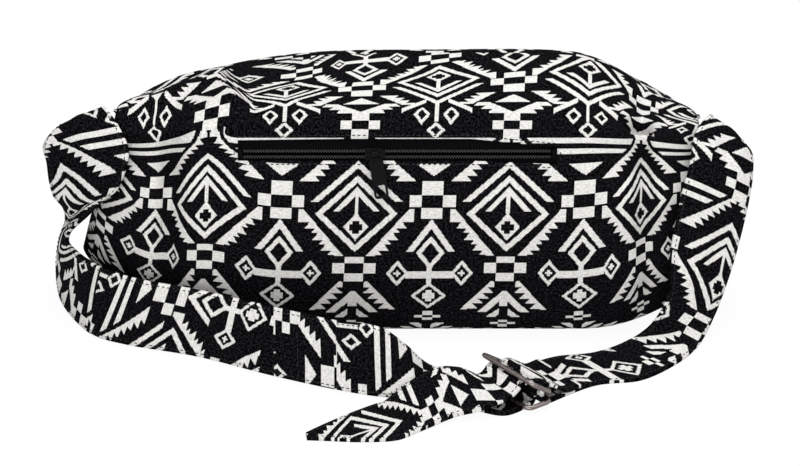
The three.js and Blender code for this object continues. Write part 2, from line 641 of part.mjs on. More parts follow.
// Left strap: leaves its end seam, turns over and down, comes forward on the table, goes under and through
// both rings, turns back over the lower one and under the upper one, and ends in a narrow tip
function leftStrap() {
  const hanging = [
    root(-1),
    pair([-1.044, 0.578, 2.930], [-1.176, 0.629, 2.488]),
    pair([-1.041, 0.534, 3.047], [-1.198, 0.586, 2.616]),
    pair([-0.992, 0.405, 2.919], [-1.253, 0.500, 2.465]),
    pair([-0.959, 0.310, 2.698], [-1.242, 0.448, 2.279]),
    pair([-0.962, 0.259, 2.512], [-1.234, 0.431, 2.000]),
    pair([-1.000, 0.250, 2.081], [-1.220, 0.440, 1.744]),
    pair([-1.044, 0.267, 1.895], [-1.187, 0.534, 1.407]),
    pair([-1.099, 0.328, 1.581], [-1.181, 0.638, 1.009]),
    pair([-1.170, 0.397, 1.186], [-1.203, 0.690, 0.637]),
    pair([-1.176, 0.379, 1.070], [-1.214, 0.672, 0.302]),
  ];
  const standing = [
    pair([-1.148, 0.276, 1.070], [-1.203, 0.466, 0.056]),
    pair([-1.099, 0.147, 1.093], [-1.154, 0.224]),
    pair([-1.033, 0.034, 1.093], [-1.077, 0.017]),
    pair([-0.934, -0.017, 1.023], [-0.967, -0.086]),
    pair([-0.703, -0.129, 0.977], [-0.720, -0.224]),
    pair([-0.462, -0.293, 0.953], [-0.462, -0.440]),
    pair([-0.247, -0.448, 0.953], [-0.247, -0.595]),
    pair([-0.099, -0.509, 0.930], [-0.088, -0.681]),
    pair([-0.005, -0.466, 0.558], [0.022, -0.698]),
    pair([0.066, -0.397, 0.151], [0.088, -0.716]),
    pair([0.137, -0.422, 0.042], [0.170, -0.759]),
  ];
  const turnRadius = (peak - lowLayer) / 2;
  const turnWidth = RING_WIRE; // the turn is flat: this far to the held bars' side
  const turn = [-90, -45, 0, 45].map((angle) => [
    turnWidth * Math.cos(degrees(angle)),
    lowLayer + turnRadius * (1 + Math.sin(degrees(angle))),
    BUNCHED,
  ]);
  const threaded = [
    [-STRAP_WIDTH / 2, lowLayer, BUNCHED],
    ...turn,
    [freeS, peak, BUNCHED],
    [-STRAP_WIDTH / 3, (peak + tailLayer) / 2, BUNCHED],
  ];
  const tail = [
    pair([0.181, -0.534, 0.279], [0.258, -0.914, 0.163]),
    pair([0.093, -0.543, 0.291], [0.165, -0.948, 0.105]),
    pair([-0.011, -0.694, 0.209], [0.049, -1.052]),
    pair([-0.077, -0.741], [-0.033, -1.151]),
    pair([-0.176, -0.853], [-0.165, -1.172]),
    pair([-0.275, -0.987], [-0.264, -1.160]),
    pair([-0.346, -1.095], [-0.341, -1.151]),
  ];
  return strap('left_strap', [...hanging, ...standing, ...threaded.map(acrossLock), ...tail]);
}

// Right strap: leaves its end seam, turns over and down, lies on the table and ends in a loop round the
// held bars
function rightStrap() {
  const hanging = [
    root(1),
    pair([1.044, 0.578, 2.767], [1.115, 0.629, 2.349]),
    pair([1.041, 0.534, 2.919], [1.135, 0.595, 2.488]),
    pair([0.995, 0.397, 2.826], [1.187, 0.517, 2.349]),
    pair([0.984, 0.319, 2.674], [1.190, 0.414, 2.116]),
    pair([0.971, 0.259, 2.442], [1.179, 0.328, 1.884]),
    pair([0.951, 0.190, 2.198], [1.165, 0.276, 1.628]),
    pair([0.926, 0.095, 1.767], [1.135, 0.190, 1.174]),
    pair([0.907, 0.017, 1.386], [1.110, 0.121, 0.872]),
    pair([0.901, -0.078, 0.884], [1.060, 0.017, 0.372]),
    pair([0.846, -0.155, 0.488], [1.000, -0.138, 0.056]),
    pair([0.747, -0.207, 0.233], [0.923, -0.310]),
    pair([0.648, -0.233, 0.093], [0.802, -0.483]),
  ];
  const loopS = barS - RING_WIRE / 2 - SEAM_GAP - STRAP_THICKNESS / 2;
  const slope = [RING_WIRE / 2, LOOP_SEWN / 3, 0.6 * LOOP_SEWN].map((way) => barS + way);
  const loop = [
    [barS + LOOP_SEWN + LOOP_ENTRY, lowLayer],
    [barS + RING_WIRE, lowLayer],
    [loopS + LOOP_BEND, lowLayer],
    [loopS, lowLayer + LOOP_BEND],
    [loopS, loopTop - LOOP_BEND],
    [loopS + LOOP_BEND, loopTop],
    [slope[0], loopTop],
    [slope[1], (loopTop + restLayer) / 2],
    [slope[2], restLayer],
    [barS + LOOP_SEWN, restLayer],
  ];
  return strap('right_strap', [...hanging, ...loop.map(acrossLock)]);
}

const fannyPack = new THREE.Group();
fannyPack.position.y = -seamY;
fannyPack.add(frontPanel(), backPanel(), zip(), leftStrap(), rightStrap(), rings());

export default fannyPack;
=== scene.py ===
# %% [markdown]
# # A cloth waist bag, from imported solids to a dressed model
#
# The bag is a stuffed tube of black and white jacquard with a zip in its front. A wide strap grows out of
# each end, and the two meet in front in a slip lock made of two wire rings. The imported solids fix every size
# and place. This notebook lays the cloth, thread, nylon and metal over them.

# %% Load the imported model
import math

import bpy
import numpy as np
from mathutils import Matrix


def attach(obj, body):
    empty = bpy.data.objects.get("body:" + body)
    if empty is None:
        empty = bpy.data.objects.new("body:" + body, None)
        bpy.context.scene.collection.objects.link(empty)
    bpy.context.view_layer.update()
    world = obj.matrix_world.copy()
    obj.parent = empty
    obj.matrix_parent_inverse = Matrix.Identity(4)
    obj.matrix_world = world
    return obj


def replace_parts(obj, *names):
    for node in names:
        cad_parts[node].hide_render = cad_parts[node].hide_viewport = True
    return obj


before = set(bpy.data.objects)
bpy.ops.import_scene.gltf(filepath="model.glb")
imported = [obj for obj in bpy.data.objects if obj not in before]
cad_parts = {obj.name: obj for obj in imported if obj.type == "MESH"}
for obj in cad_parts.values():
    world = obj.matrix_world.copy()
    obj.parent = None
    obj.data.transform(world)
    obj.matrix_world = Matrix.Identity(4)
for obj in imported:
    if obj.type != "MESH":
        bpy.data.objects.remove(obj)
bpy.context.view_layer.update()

MM = 0.001
print("solids:", sorted(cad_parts))

# %% [markdown]
# ## Camera and light
#
# The photograph looks down on the bag by 28 degrees through a long lens, and one of its pixels covers 0.63 mm
# at the bag. A very long lens from 10 m away gives the same flat perspective. One small lamp would throw hard
# shadows that the photograph does not have, so four large soft lamps light the object.

# %% Camera
VIEW_HEIGHT = math.radians(28)
VIEW_DISTANCE = 10.0
PIXEL = 0.63 * MM
IMAGE_WIDTH = 800
SENSOR = 36.0
TARGET = np.array([-4.4, 0, 44]) * MM


def add_object(name, data):
    """A new object, put into the scene."""
    made = bpy.data.objects.new(name, data)
    bpy.context.scene.collection.objects.link(made)
    return made


camera = add_object("camera", bpy.data.cameras.new("camera"))
camera.data.sensor_width = SENSOR
camera.data.lens = SENSOR * VIEW_DISTANCE / (IMAGE_WIDTH * PIXEL)
camera.location = TARGET + VIEW_DISTANCE * np.array([0, -math.cos(VIEW_HEIGHT), math.sin(VIEW_HEIGHT)])
camera.rotation_euler = (math.pi / 2 - VIEW_HEIGHT, 0, 0)
bpy.context.scene.camera = camera
bpy.context.scene.view_settings.view_transform = "Standard"
print("focal length", round(camera.data.lens, 1))

# %% Lamps
def soft_lamp(name, location, size, power):
    """A square area lamp that looks at the bag, placed and sized in metres, with its power in watts."""
    lamp = add_object(name, bpy.data.lights.new(name, "AREA"))
    lamp.data.size = size
    lamp.data.energy = power
    lamp.location = location
    aim = TARGET - np.array(location)
    flat = math.hypot(aim[0], aim[1])
    lamp.rotation_euler = (math.atan2(flat, -aim[2]), 0, math.atan2(aim[1], aim[0]) - math.pi / 2)


soft_lamp("lamp_front_left", location=(-0.9, -1.1, 1.3), size=1.1, power=4)
soft_lamp("lamp_top", location=(0.2, 0.1, 1.6), size=1.4, power=26)
soft_lamp("lamp_right", location=(1.3, -0.5, 0.8), size=0.9, power=2)
soft_lamp("lamp_low", location=(-0.1, -1.5, 0.12), size=1.0, power=12)
print("four soft lamps")

# %% [markdown]
# ## Shader arithmetic
#
# A pattern is easiest to read as a formula. The class below wraps a node socket, so that `a * 2 + b` adds the
# Math nodes by itself. Every other node comes from one method.

# %% Sockets that can be added and multiplied
def math_method(operation, swapped=False):
    """A method that adds one Math node to a Wire and its operands, which may be swapped."""

    def method(wire, *others):
        values = (*others, wire) if swapped else (wire, *others)
        return wire.node("ShaderNodeMath", {"operation": operation}, dict(enumerate(values)))

    return method


class Wire:
    """A node socket in arithmetic: each operator adds one Math node behind it.

    fold is a triangle wave, the distance to the nearest multiple of twice its operand. wrap repeats a range,
    given as its high end and its low end.
    """

    __add__ = __radd__ = math_method("ADD")
    __mul__ = __rmul__ = math_method("MULTIPLY")
    __sub__ = math_method("SUBTRACT")
    __rsub__ = math_method("SUBTRACT", swapped=True)
    __truediv__ = math_method("DIVIDE")
    __lt__ = math_method("LESS_THAN")
    __gt__ = math_method("GREATER_THAN")
    max = math_method("MAXIMUM")
    abs = math_method("ABSOLUTE")
    sin = math_method("SINE")
    floor = math_method("FLOOR")
    fract = math_method("FRACT")
    fold = math_method("PINGPONG")
    wrap = math_method("WRAP")

    def __init__(self, socket):
        self.socket = socket

    def node(self, kind, settings=None, inputs=None, output=0):
        """Adds any node: its settings first, then the values or links of its input sockets."""
        tree = self.socket.id_data
        made = tree.nodes.new(kind)
        for name, value in (settings or {}).items():
            setattr(made, name, value)
        for name, value in (inputs or {}).items():
            if isinstance(value, Wire):
                tree.links.new(value.socket, made.inputs[name])
            else:
                made.inputs[name].default_value = value
        return Wire(made.outputs[output])


def new_finish(name, **constants):
    """A material, its Principled shader and a Wire to start from.

    Constants go straight onto the shader's sockets.
    """
    material = bpy.data.materials.new(name)
    material.use_nodes = True
    shader = material.node_tree.nodes["Principled BSDF"]
    for socket, value in constants.items():
        shader.inputs[socket.replace("_", " ")].default_value = value
    return material, shader, Wire(shader.outputs[0])


def feed(shader, socket, wire):
    shader.id_data.links.new(wire.socket, shader.inputs[socket])


print("arithmetic on sockets is ready")

# %% [markdown]
# ## Floor and sky
#
# The photograph's ground is plain white. A camera ray, a glossy ray or a transmitted ray sees a floor that is
# nearly all white glow, and every other ray meets an ordinary pale floor, so the bag keeps a faint shadow.
# The sky is white for the same rays and half as bright for the light it gives.

# %% White floor
FLOOR_SIZE = 6.0
FLOOR_PALE = (0.94, 0.94, 0.94, 1)
WHITE = (1, 1, 1, 1)
SHADOW_SHARE = 0.06


def seen_directly(wire):
    """One for camera, glossy and transmitted rays."""
    kinds = ("Is Camera Ray", "Is Glossy Ray", "Is Transmission Ray")
    first, second, third = (wire.node("ShaderNodeLightPath", output=kind) for kind in kinds)
    return first.max(second).max(third)


floor_mesh = bpy.data.meshes.new("floor")
far = FLOOR_SIZE / 2
floor_mesh.from_pydata([(-far, -far, 0), (far, -far, 0), (far, far, 0), (-far, far, 0)], [], [(0, 1, 2, 3)])
floor = add_object("floor", floor_mesh)
floor_finish, _, start = new_finish("white_floor", Base_Color=FLOOR_PALE, Roughness=0.9)
glow = start.node("ShaderNodeEmission", None, {"Color": WHITE, "Strength": 1.0})
share = seen_directly(start) * (1 - SHADOW_SHARE)
mixed = start.node("ShaderNodeMixShader", None, {0: share, 1: start, 2: glow})
floor_output = floor_finish.node_tree.nodes["Material Output"]
floor_finish.node_tree.links.new(mixed.socket, floor_output.inputs["Surface"])
floor.data.materials.append(floor_finish)
print("floor", FLOOR_SIZE, "m wide")

# %% White sky
SKY_LEVEL = 0.5
sky = bpy.data.worlds.new("sky")
bpy.context.scene.world = sky
sky.use_nodes = True
background = sky.node_tree.nodes["Background"]
level = SKY_LEVEL + seen_directly(Wire(background.outputs[0])) * (1 - SKY_LEVEL)
sky.node_tree.links.new(level.socket, background.inputs["Strength"])
background.inputs["Color"].default_value = WHITE
print("sky level", SKY_LEVEL)

# %% [markdown]
# ## The jacquard
#
# The cloth is woven, so its figures are made of whole threads and their slanting edges climb in steps. The
# cloth carries its own coordinates in millimetres, u along the bag and v up from the zip, and rounding them
# down to whole threads gives the steps. A picture of the weave could be laid on instead, but a formula stays
# sharp from any distance. Each shape is a comparison or two: a chevron is a strip of `y - slope * across`,
# and a diamond is a sum of two distances.

# %% Shapes
def either(first, *others):
    """White where any of the shapes is white."""
    for shape in others:
        first = first.max(shape)
    return first


def strip(value, low, high):
    return (value > low) * (value < high)


def block(y, across, half_width, low, high):
    return (across < half_width) * strip(y, low, high)


def plus(y, across, wide, tall):
    """Two crossed blocks, each given by its half width and the heights of its ends."""
    return either(block(y, across, *wide), block(y, across, *tall))


def checker(y, across, half_width, reach, edges):
    """Two blocks on the axis and one on each side between them, round an empty middle."""
    first, second, third, fourth = edges
    ends = either(block(y, across, half_width, first, second), block(y, across, half_width, third, fourth))
    return either(ends, strip(across, half_width, reach) * strip(y, second, third))


def diamond(across, along, middle, half_width, half_height):
    """Diamond distance: one on the outline of a diamond with these half sizes, less inside."""
    return (across * (half_height / half_width) + (along - middle).abs()) / half_height


def diamond_frame(across, along, middle, half_width, half_height, inner):
    """The outline of a diamond, from `inner` times its size to its full size."""
    return strip(diamond(across, along, middle, half_width, half_height), inner, 1)


def chevron(y, across, apex, slope, thickness, end):
    """A roof-shaped strip below the lines that fall from the apex, cut level at `end`."""
    return strip(y - across * slope, apex, apex + thickness) * (y < end)


def slant(way, start, slope):
    """A straight slanting edge."""
    return start + way * slope


def stairs(way, pitch, start, rise, back):
    """A stepped edge: each pitch starts `rise` further out and falls back by `back` on its way."""
    step = way / pitch
    return start + step.floor() * rise - step.fract() * back


print("shapes: strip, block, plus, checker, diamond, chevron, slant and stairs")

# %% [markdown]
# The drawing has two columns half a repeat apart, and each is its own mirror image. So a figure needs only
# the distance from its column's axis, a or b, and the height y, which counts down from the middle of the
# large diamond. All sizes are millimetres of cloth.

# %% Two columns and the feathers between them
def diamond_column(y, a):
    """Chevron, diamond frame, arrow, the drop with a cross and the checker under it."""
    roof = chevron(y, a, apex=-33.4, slope=0.89, thickness=4.4, end=-8)
    outline = diamond_frame(a, y, middle=0, half_width=25.9, half_height=24.3, inner=0.815)
    arrow = chevron(y, a, apex=-17.1, slope=1.06, thickness=4.4, end=-1.5)
    shaft = block(y, a, half_width=1.2, low=-12.2, high=0)
    drop = diamond(a, y, middle=8.2, half_width=7.7, half_height=8.9) < 1
    cross = plus(y, a, wide=(4.1, 6.5, 10.5), tall=(2, 4.5, 12.4))
    checks = checker(y, a, half_width=5.8, reach=13.3, edges=(27.5, 31.7, 38.3, 44))
    return either(roof, outline, arrow, shaft, drop * (1 - cross), checks)


def feathers(y, a):
    """Bands beside the diamond: one edge straight, the other a sawtooth below and a stair above."""
    band_top, teeth_from, teeth_to, band_outer = -3, 5.3, 27, 36.2
    tooth_pitch, long_share, tooth_length = 7, 0.6, 10.5
    tooth = ((y - teeth_from) / tooth_pitch).fract()
    teeth = (tooth - long_share * (tooth > long_share)) * tooth_length
    inner = slant(teeth_to - y, start=7.2, slope=0.865)
    outer = slant(y - teeth_from, start=29, slope=-0.78) + teeth
    toothed = strip(a, inner, outer) * strip(y, teeth_from, teeth_to)
    plain = strip(a, inner, band_outer) * strip(y, band_top, teeth_from)
    fan_top, fan_foot, axis_room = -47.4, -20.9, 1.1
    fan_inner = stairs(fan_foot - y, pitch=3.5, start=24, rise=-3.4, back=-3)
    fan = strip(a, fan_inner, slant(y - fan_foot, start=36.5, slope=1.17)) * strip(y, fan_top, fan_foot)
    return either(toothed, plain, fan * (a > axis_room))


def second_column(y, b):
    """Triangle, checker, chevron, open diamond, and a bar that carries three small diamonds."""
    triangle_top, triangle_tip, node_away = -31.8, -23.9, 20.2
    triangle = (b < slant(triangle_tip - y, start=0, slope=1.43)) * (y > triangle_top)
    checks = checker(y, b, half_width=6.6, reach=14.6, edges=(-20.7, -11.8, -4, 3))
    roof = chevron(y, b, apex=3.4, slope=1.36, thickness=6.1, end=24.3)
    opened = diamond_frame(b, y, middle=25.1, half_width=9, half_height=11, inner=0.62)
    bar = block(y, b, half_width=15, low=36.9, high=41.8)
    stem = block(y, b, half_width=1.6, low=33.4, high=45.6)
    beside = (b - node_away).abs()
    node = diamond_frame(beside, y, middle=38.5, half_width=7.1, half_height=8.6, inner=0.65)
    node_cross = plus(y, beside, wide=(2.2, 37.7, 39.3), tall=(0.8, 36.3, 40.7))
    foot = diamond_frame(b, y, middle=54.1, half_width=11.3, half_height=9.5, inner=0.75)
    foot_cross = plus(y, b, wide=(4, 52.3, 55.9), tall=(1.7, 50.2, 58))
    return either(triangle, checks, roof, opened, bar, stem, node, node_cross, foot, foot_cross)


print("two columns and their feathers")

# %% [markdown]
# Under the columns runs a row of wings. A second, narrower drawing fills the middle of the repeat by the zip,
# where the height is counted up from the zip as v, and p and q are the distances from its two axes.

# %% Foot row and middle row
def foot_row(y, a, b):
    """Wings, a chevron with a thick stem and a small checker at the foot of the drawing."""
    wing_from, wing_to, wing_room, roof_from, stem_room = 44.2, 64.2, 6.5, 51, 2.8
    inner = stairs(y - wing_from, pitch=3.9, start=7.3, rise=3.2, back=3.9).max(wing_room)
    outer = slant(y - wing_from, start=9.1, slope=0.9)
    wing = strip(a, inner, outer) * strip(y, wing_from, wing_to)
    roof = chevron(y, a, apex=49.4, slope=1.04, thickness=6, end=66.6) * (y > roof_from)
    stem = block(y, a, half_width=2.65, low=55, high=61.9)
    low_roof = chevron(y, a, apex=61, slope=0.87, thickness=5, end=70.5) * (a > stem_room)
    checks = checker(y, b, half_width=3, reach=8, edges=(66, 69.2, 71.4, 73))
    return either(wing, roof, stem, low_roof, checks)


def middle_row(v, p, q):
    """Between the two drawings: a checker with open wings, small diamonds on a stem, and two stripes."""
    wing_from, wing_to, stairs_from, diamond_away = 25.4, 36, 25.6, 9.2
    wing = p < stairs(v - stairs_from, pitch=3.3, start=15.1, rise=4.7, back=2.5)
    wing = wing * (v < slant(p, start=26.2, slope=0.644)) * strip(v, wing_from, wing_to)
    checks = checker(v, p, half_width=5.1, reach=12.2, edges=(9.4, 15.6, 21, 26.3))
    beside = (q - diamond_away).abs()
    low_diamond = diamond_frame(q, v, middle=14.65, half_width=6, half_height=5.2, inner=0.55)
    high_diamonds = diamond_frame(beside, v, middle=24.6, half_width=5.1, half_height=6.5, inner=0.55)
    stem = block(v, q, half_width=1.1, low=19.8, high=36)
    branch_from, branch_to, branch_height, branch_slope, branch_half = 7, 22, 38.5, 0.72, 2.2
    branch = v - branch_height + (q - branch_from) * branch_slope
    branch = strip(branch, -branch_half, branch_half) * strip(q, branch_from, branch_to)
    stripes = either(strip(v, low=6.2, high=9.9), strip(v, low=-0.6, high=2.9))
    stripes = stripes * (p > slant(v, start=21.5, slope=-1.25))
    return either(wing, checks, low_diamond, high_diamonds, stem, branch, stripes)


print("foot row and middle row")

# %% One repeat of the weave
HALF_REPEAT = 47.5
UPRIGHT_CENTRE, TURNED_CENTRE = -38.0, 67.5
TURN_HEIGHT = 34.0
UPRIGHT_TOP = 9.4
MIDDLE_LOW, MIDDLE_HIGH = -6, 42


def jacquard(u, v):
    """White threads, one or zero. Columns alternate every half repeat and each is drawn once and mirrored.

    Above the middle row the same drawing is turned over and moved by half a repeat.
    """
    turned = v > TURN_HEIGHT
    p = u.fold(HALF_REPEAT)
    q = HALF_REPEAT - p
    a = p + turned * (q - p)
    b = HALF_REPEAT - a
    y = turned * (v - TURNED_CENTRE) - (1 - turned) * (v - UPRIGHT_CENTRE)
    drawing = either(diamond_column(y, a), feathers(y, a), second_column(y, b), foot_row(y, a, b))
    drawn = either(turned, v < UPRIGHT_TOP)
    return either(drawing * drawn, middle_row(v, p, q) * strip(v, MIDDLE_LOW, MIDDLE_HIGH))


print("one repeat is", 2 * HALF_REPEAT, "mm wide")

# %% [markdown]
# ## Cloth, thread, nylon and metal
#
# The white yarn is a warm light grey with faint streaks along each pick. The black yarn is never quite black:
# its fuzz gives it lighter specks, partly its own tone and partly painted sheen for the light that the fuzz
# catches. Real threads would be far too many to model, so a shallow bump from two crossed sine waves gives
# the weave its relief.

# %% Jacquard cloth
THREAD_U, THREAD_V = 0.63, 0.68
DRAWING_LOW, DRAWING_HIGH = -111.5, 140.5
WHITE_YARN = (0.76, 0.75, 0.72, 1)
WHITE_SHADE = (0.47, 0.46, 0.445, 1)
BLACK_YARN = (0.0005, 0.0004, 0.0006, 1)
# Lighter specks of the black yarn: the fuzz's own tone and painted sheen for the light that it catches.
BLACK_FUZZ_AND_SHEEN = (0.024, 0.0225, 0.0265, 1)
STREAK_STRETCH = (0.35, 1.6, 1)
YARN_LEVEL, STREAK_GAIN, SPECK_GAIN = 0.4, 2.2, 2.6
FUZZ_AND_SHEEN_LEVEL, FUZZ_AND_SHEEN_GAIN = 0.48, 5.5
SPECK_RELIEF = 1.5
COLOUR_ONE, COLOUR_TWO, COLOUR_OUT = 6, 7, 2


def mix(wire, factor, first, second):
    """A Mix node between two colours, whose sockets are reached by their places."""
    inputs = {"Factor": factor, COLOUR_ONE: first, COLOUR_TWO: second}
    return wire.node("ShaderNodeMix", {"data_type": "RGBA"}, inputs, COLOUR_OUT)


def noise(wire, at, scale, detail, roughness=0.5):
    inputs = {"Vector": at, "Scale": scale, "Detail": detail, "Roughness": roughness}
    return wire.node("ShaderNodeTexNoise", None, inputs)


def clamped(wire):
    return wire.node("ShaderNodeClamp", None, {"Value": wire})


def emboss(shader, height, strength, distance):
    inputs = {"Height": height, "Strength": strength, "Distance": distance}
    feed(shader, "Normal", height.node("ShaderNodeBump", None, inputs))


def cloth_finish(name):
    """Black or white yarn by the jacquard, each mottled by noise, over a bump of crossed sine waves."""
    material, shader, wire = new_finish(name, Roughness=0.92, Specular_IOR_Level=0.006)
    uv = wire.node("ShaderNodeUVMap", {"uv_map": "cloth"})
    u, v = (wire.node("ShaderNodeSeparateXYZ", None, {0: uv}, k) for k in "XY")
    whole_u = (u / THREAD_U).floor() * THREAD_U
    whole_v = ((v / THREAD_V).floor() * THREAD_V).wrap(DRAWING_HIGH, DRAWING_LOW)
    white = jacquard(whole_u, whole_v)
    streak_at = wire.node("ShaderNodeVectorMath", {"operation": "MULTIPLY"}, {0: uv, 1: STREAK_STRETCH})
    streak = noise(wire, streak_at, scale=1.0, detail=3.0)
    speck = noise(wire, uv, scale=0.75, detail=4.0, roughness=0.75)
    bright = clamped((streak - YARN_LEVEL) * STREAK_GAIN + (speck - YARN_LEVEL) * SPECK_GAIN)
    # Painted sheen: where the speck noise is high the black yarn turns lighter, partly fuzz tone, partly
    # caught light.
    fuzz_and_sheen = clamped((speck - FUZZ_AND_SHEEN_LEVEL) * FUZZ_AND_SHEEN_GAIN)
    pale = mix(wire, bright, WHITE_SHADE, WHITE_YARN)
    dark = mix(wire, fuzz_and_sheen, BLACK_YARN, BLACK_FUZZ_AND_SHEEN)
    feed(shader, "Base Color", mix(wire, white, dark, pale))
    picks = (u * (2 * math.pi / THREAD_U)).sin() * (v * (2 * math.pi / THREAD_V)).sin()
    emboss(shader, picks + speck * SPECK_RELIEF, strength=0.3, distance=0.00018)
    return material


jacquard_cloth = cloth_finish("jacquard_cloth")
print("jacquard nodes:", len(jacquard_cloth.node_tree.nodes))

# %% [markdown]
# The zip's tape is dull and woven, its teeth are smooth nylon, the slider is enamelled, the rings are dark
# plated metal and the thread is matt. A plain colour would look like paint, so fine noise varies each one.

# %% Tape, nylon, enamel, gunmetal and thread
TAPE_DARK, TAPE_LIGHT = (0.0006, 0.0006, 0.0008, 1), (0.006, 0.006, 0.007, 1)


def woven_tape(name):
    """A dull finish with a grain that also roughens the surface."""
    material, shader, wire = new_finish(name, Roughness=0.85, Specular_IOR_Level=0.01)
    at = wire.node("ShaderNodeTexCoord", output="Object")
    grain = noise(wire, at, scale=1400.0, detail=2.0)
    feed(shader, "Base Color", mix(wire, grain, TAPE_DARK, TAPE_LIGHT))
    emboss(shader, grain, strength=0.5, distance=0.0002)
    return material


def speckled(name, low, high, scale, rough, **constants):
    """A smooth finish whose colour and gloss vary a little with fine noise."""
    material, shader, wire = new_finish(name, **constants)
    at = wire.node("ShaderNodeTexCoord", output="Object")
    grain = noise(wire, at, scale, detail=3.0)
    feed(shader, "Base Color", mix(wire, grain, low, high))
    feed(shader, "Roughness", grain * (rough[1] - rough[0]) + rough[0])
    return material


black_tape = woven_tape("black_tape")
nylon = speckled("black_nylon", low=(0.006, 0.006, 0.0065, 1), high=(0.02, 0.02, 0.021, 1),
                 scale=900.0, rough=(0.22, 0.36), Specular_IOR_Level=0.6)
enamel = speckled("black_enamel", low=(0.001, 0.001, 0.0012, 1), high=(0.006, 0.006, 0.007, 1),
                  scale=500.0, rough=(0.14, 0.3), Specular_IOR_Level=0.03)
gunmetal = speckled("gunmetal", low=(0.14, 0.118, 0.114, 1), high=(0.25, 0.215, 0.205, 1),
                    scale=300.0, rough=(0.18, 0.34), Metallic=1.0)
thread = speckled("sewing_thread", low=(0.003, 0.003, 0.003, 1), high=(0.03, 0.03, 0.032, 1),
                  scale=2500.0, rough=(0.6, 0.8), Specular_IOR_Level=0.1)
print("finishes:", [m.name for m in (jacquard_cloth, black_tape, nylon, enamel, gunmetal, thread)])

# %% [markdown]
# ## Grids
#
# Every new piece is a grid of points worked out at once as an array. The helper below turns a grid into
# a mesh, with the cloth's own coordinates as its UV map where the piece has them.

# %% From arrays to meshes
TINY = 1e-9


def grid_quads(rows, columns, close_rows=False, close_columns=False, keep=None):
    """Corner numbers of a grid's quads. A closed direction joins the last line to the first."""
    i = np.arange(rows if close_rows else rows - 1)[:, None]
    j = np.arange(columns if close_columns else columns - 1)[None, :]
    after_i, after_j = (i + 1) % rows, (j + 1) % columns
    corners = (i * columns + j, after_i * columns + j, after_i * columns + after_j, i * columns + after_j)
    quads = np.stack(np.broadcast_arrays(*corners), axis=-1)
    return (quads if keep is None else quads[keep]).reshape(-1, 4)


def make_piece(name, points, quads, finish, body, uv=None):
    """A smooth mesh from points in millimetres, riding on a body."""
    mesh = bpy.data.meshes.new(name)
    used, quads = np.unique(quads, return_inverse=True)
    quads = quads.reshape(-1, 4)
    mesh.from_pydata((points.reshape(-1, 3)[used] * MM).tolist(), [], quads.tolist())
    if uv is not None:
        layer = mesh.uv_layers.new(name="cloth")
        layer.data.foreach_set("uv", uv.reshape(-1, 2)[used][quads].astype(np.float32).ravel())
    mesh.polygons.foreach_set("use_smooth", np.ones(len(quads), dtype=bool))
    mesh.materials.append(finish)
    piece = add_object(name, mesh)
    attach(piece, body)
    print(name, len(mesh.vertices), "points")
    return piece


def unit(vectors):
    """Vectors divided by their lengths."""
    return vectors / np.maximum(np.linalg.norm(vectors, axis=-1, keepdims=True), TINY)


def grid_normals(points):
    """Unit normals of a grid: the cross product of its two direction differences."""
    return unit(np.cross(np.gradient(points, axis=0), np.gradient(points, axis=1)))


def lengths_along(points, axis):
    """Distance travelled along one direction of a grid, from its first line."""
    steps = np.linalg.norm(np.diff(points, axis=axis), axis=-1)
    start = np.zeros_like(np.take(steps, [0], axis=axis))
    return np.concatenate([start, np.cumsum(steps, axis=axis)], axis=axis)


def smooth_step(value, low, high):
    """A soft step: zero below `low`, one above `high`, and 3 t squared less 2 t cubed between."""
    t = np.clip((value - low) / (high - low), 0, 1)
    return t * t * (3 - 2 * t)


def bell(value, middle, reach):
    """A bell curve: e to the power of minus the squared distance from the middle, in reaches."""
    return np.exp(-((value - middle) / reach) ** 2)


def thicken(piece, thickness, offset):
    solidify = piece.modifiers.new("thickness", "SOLIDIFY")
    solidify.thickness = thickness * MM
    solidify.offset = offset


print("grid helpers are ready")

# %% [markdown]
# ## The bag
#
# The bag is a stuffed tube. Its section is a chain of Bezier curves: a face that swells over the bottom seam,
# a straight band that leans back and holds the zip, a round top, and a fuller back on a flat base. Along the
# bag the section stays the same in the middle and closes to an upright seam at each end. A loft through many
# drawn sections would also do, but one section carried by a rule keeps the seams exact. The front and the
# back are two cuts of cloth, so they are two pieces that meet in the seams.

# %% Section of the bag
LENGTH, DEPTH, HEIGHT = 364.0, 116.0, 158.0
SEAM_Y = DEPTH / 2
HALF_LENGTH = LENGTH / 2
ZIP_CENTRE, ZIP_BACK, ZIP_HIGH = -6.0, 24.0, 118.0
ZIP_LEAN = math.radians(24)
WINDOW_LENGTH, WINDOW_WIDTH = 200.0, 13.0
BAND_EDGE = 10.0
BAND_HALF = WINDOW_WIDTH / 2 + BAND_EDGE
BAND_UP = np.array([math.sin(ZIP_LEAN), math.cos(ZIP_LEAN)])
TOE = np.array([8.0, 3.0])
TOE_SWELL, TOE_LIP = (-14, 13), (3, -3)
CROWN_SETBACK = 31.0
CROWN = np.array([DEPTH - CROWN_SETBACK, HEIGHT])
FACE_RISE, SHOULDER_RISE, CROWN_FRONT, CROWN_BACK = 0.44, 0.65, 0.45, 0.68
REAR_MIDDLE, REAR_HIGH, REAR_LOW = 0.58 * HEIGHT, 0.8 * HEIGHT, 0.27 * HEIGHT
BASE_BACK, BASE_FRONT, LIP_FRONT = DEPTH - 18, 20.0, 14.0
FACE_STEPS, TOP_STEPS, EDGE_STEPS, WINDOW_STEPS = 64, 56, 8, 4
REAR_STEPS, HEEL_STEPS, BASE_POINTS, LIP_STEPS = 40, 44, 26, 8


def bezier(points, steps):
    """Cubic Bezier curve: four control points weighted by the cubic Bernstein polynomials."""
    t = np.linspace(0, 1, steps + 1)[:, None]
    p = np.asarray(points, dtype=float)
    return (1 - t) ** 3 * p[0] + 3 * (1 - t) ** 2 * t * p[1] + 3 * (1 - t) * t ** 2 * p[2] + t ** 3 * p[3]


def band_points(start, end, steps):
    return np.array([ZIP_BACK, ZIP_HIGH]) + np.linspace(start, end, steps + 1)[:, None] * BAND_UP


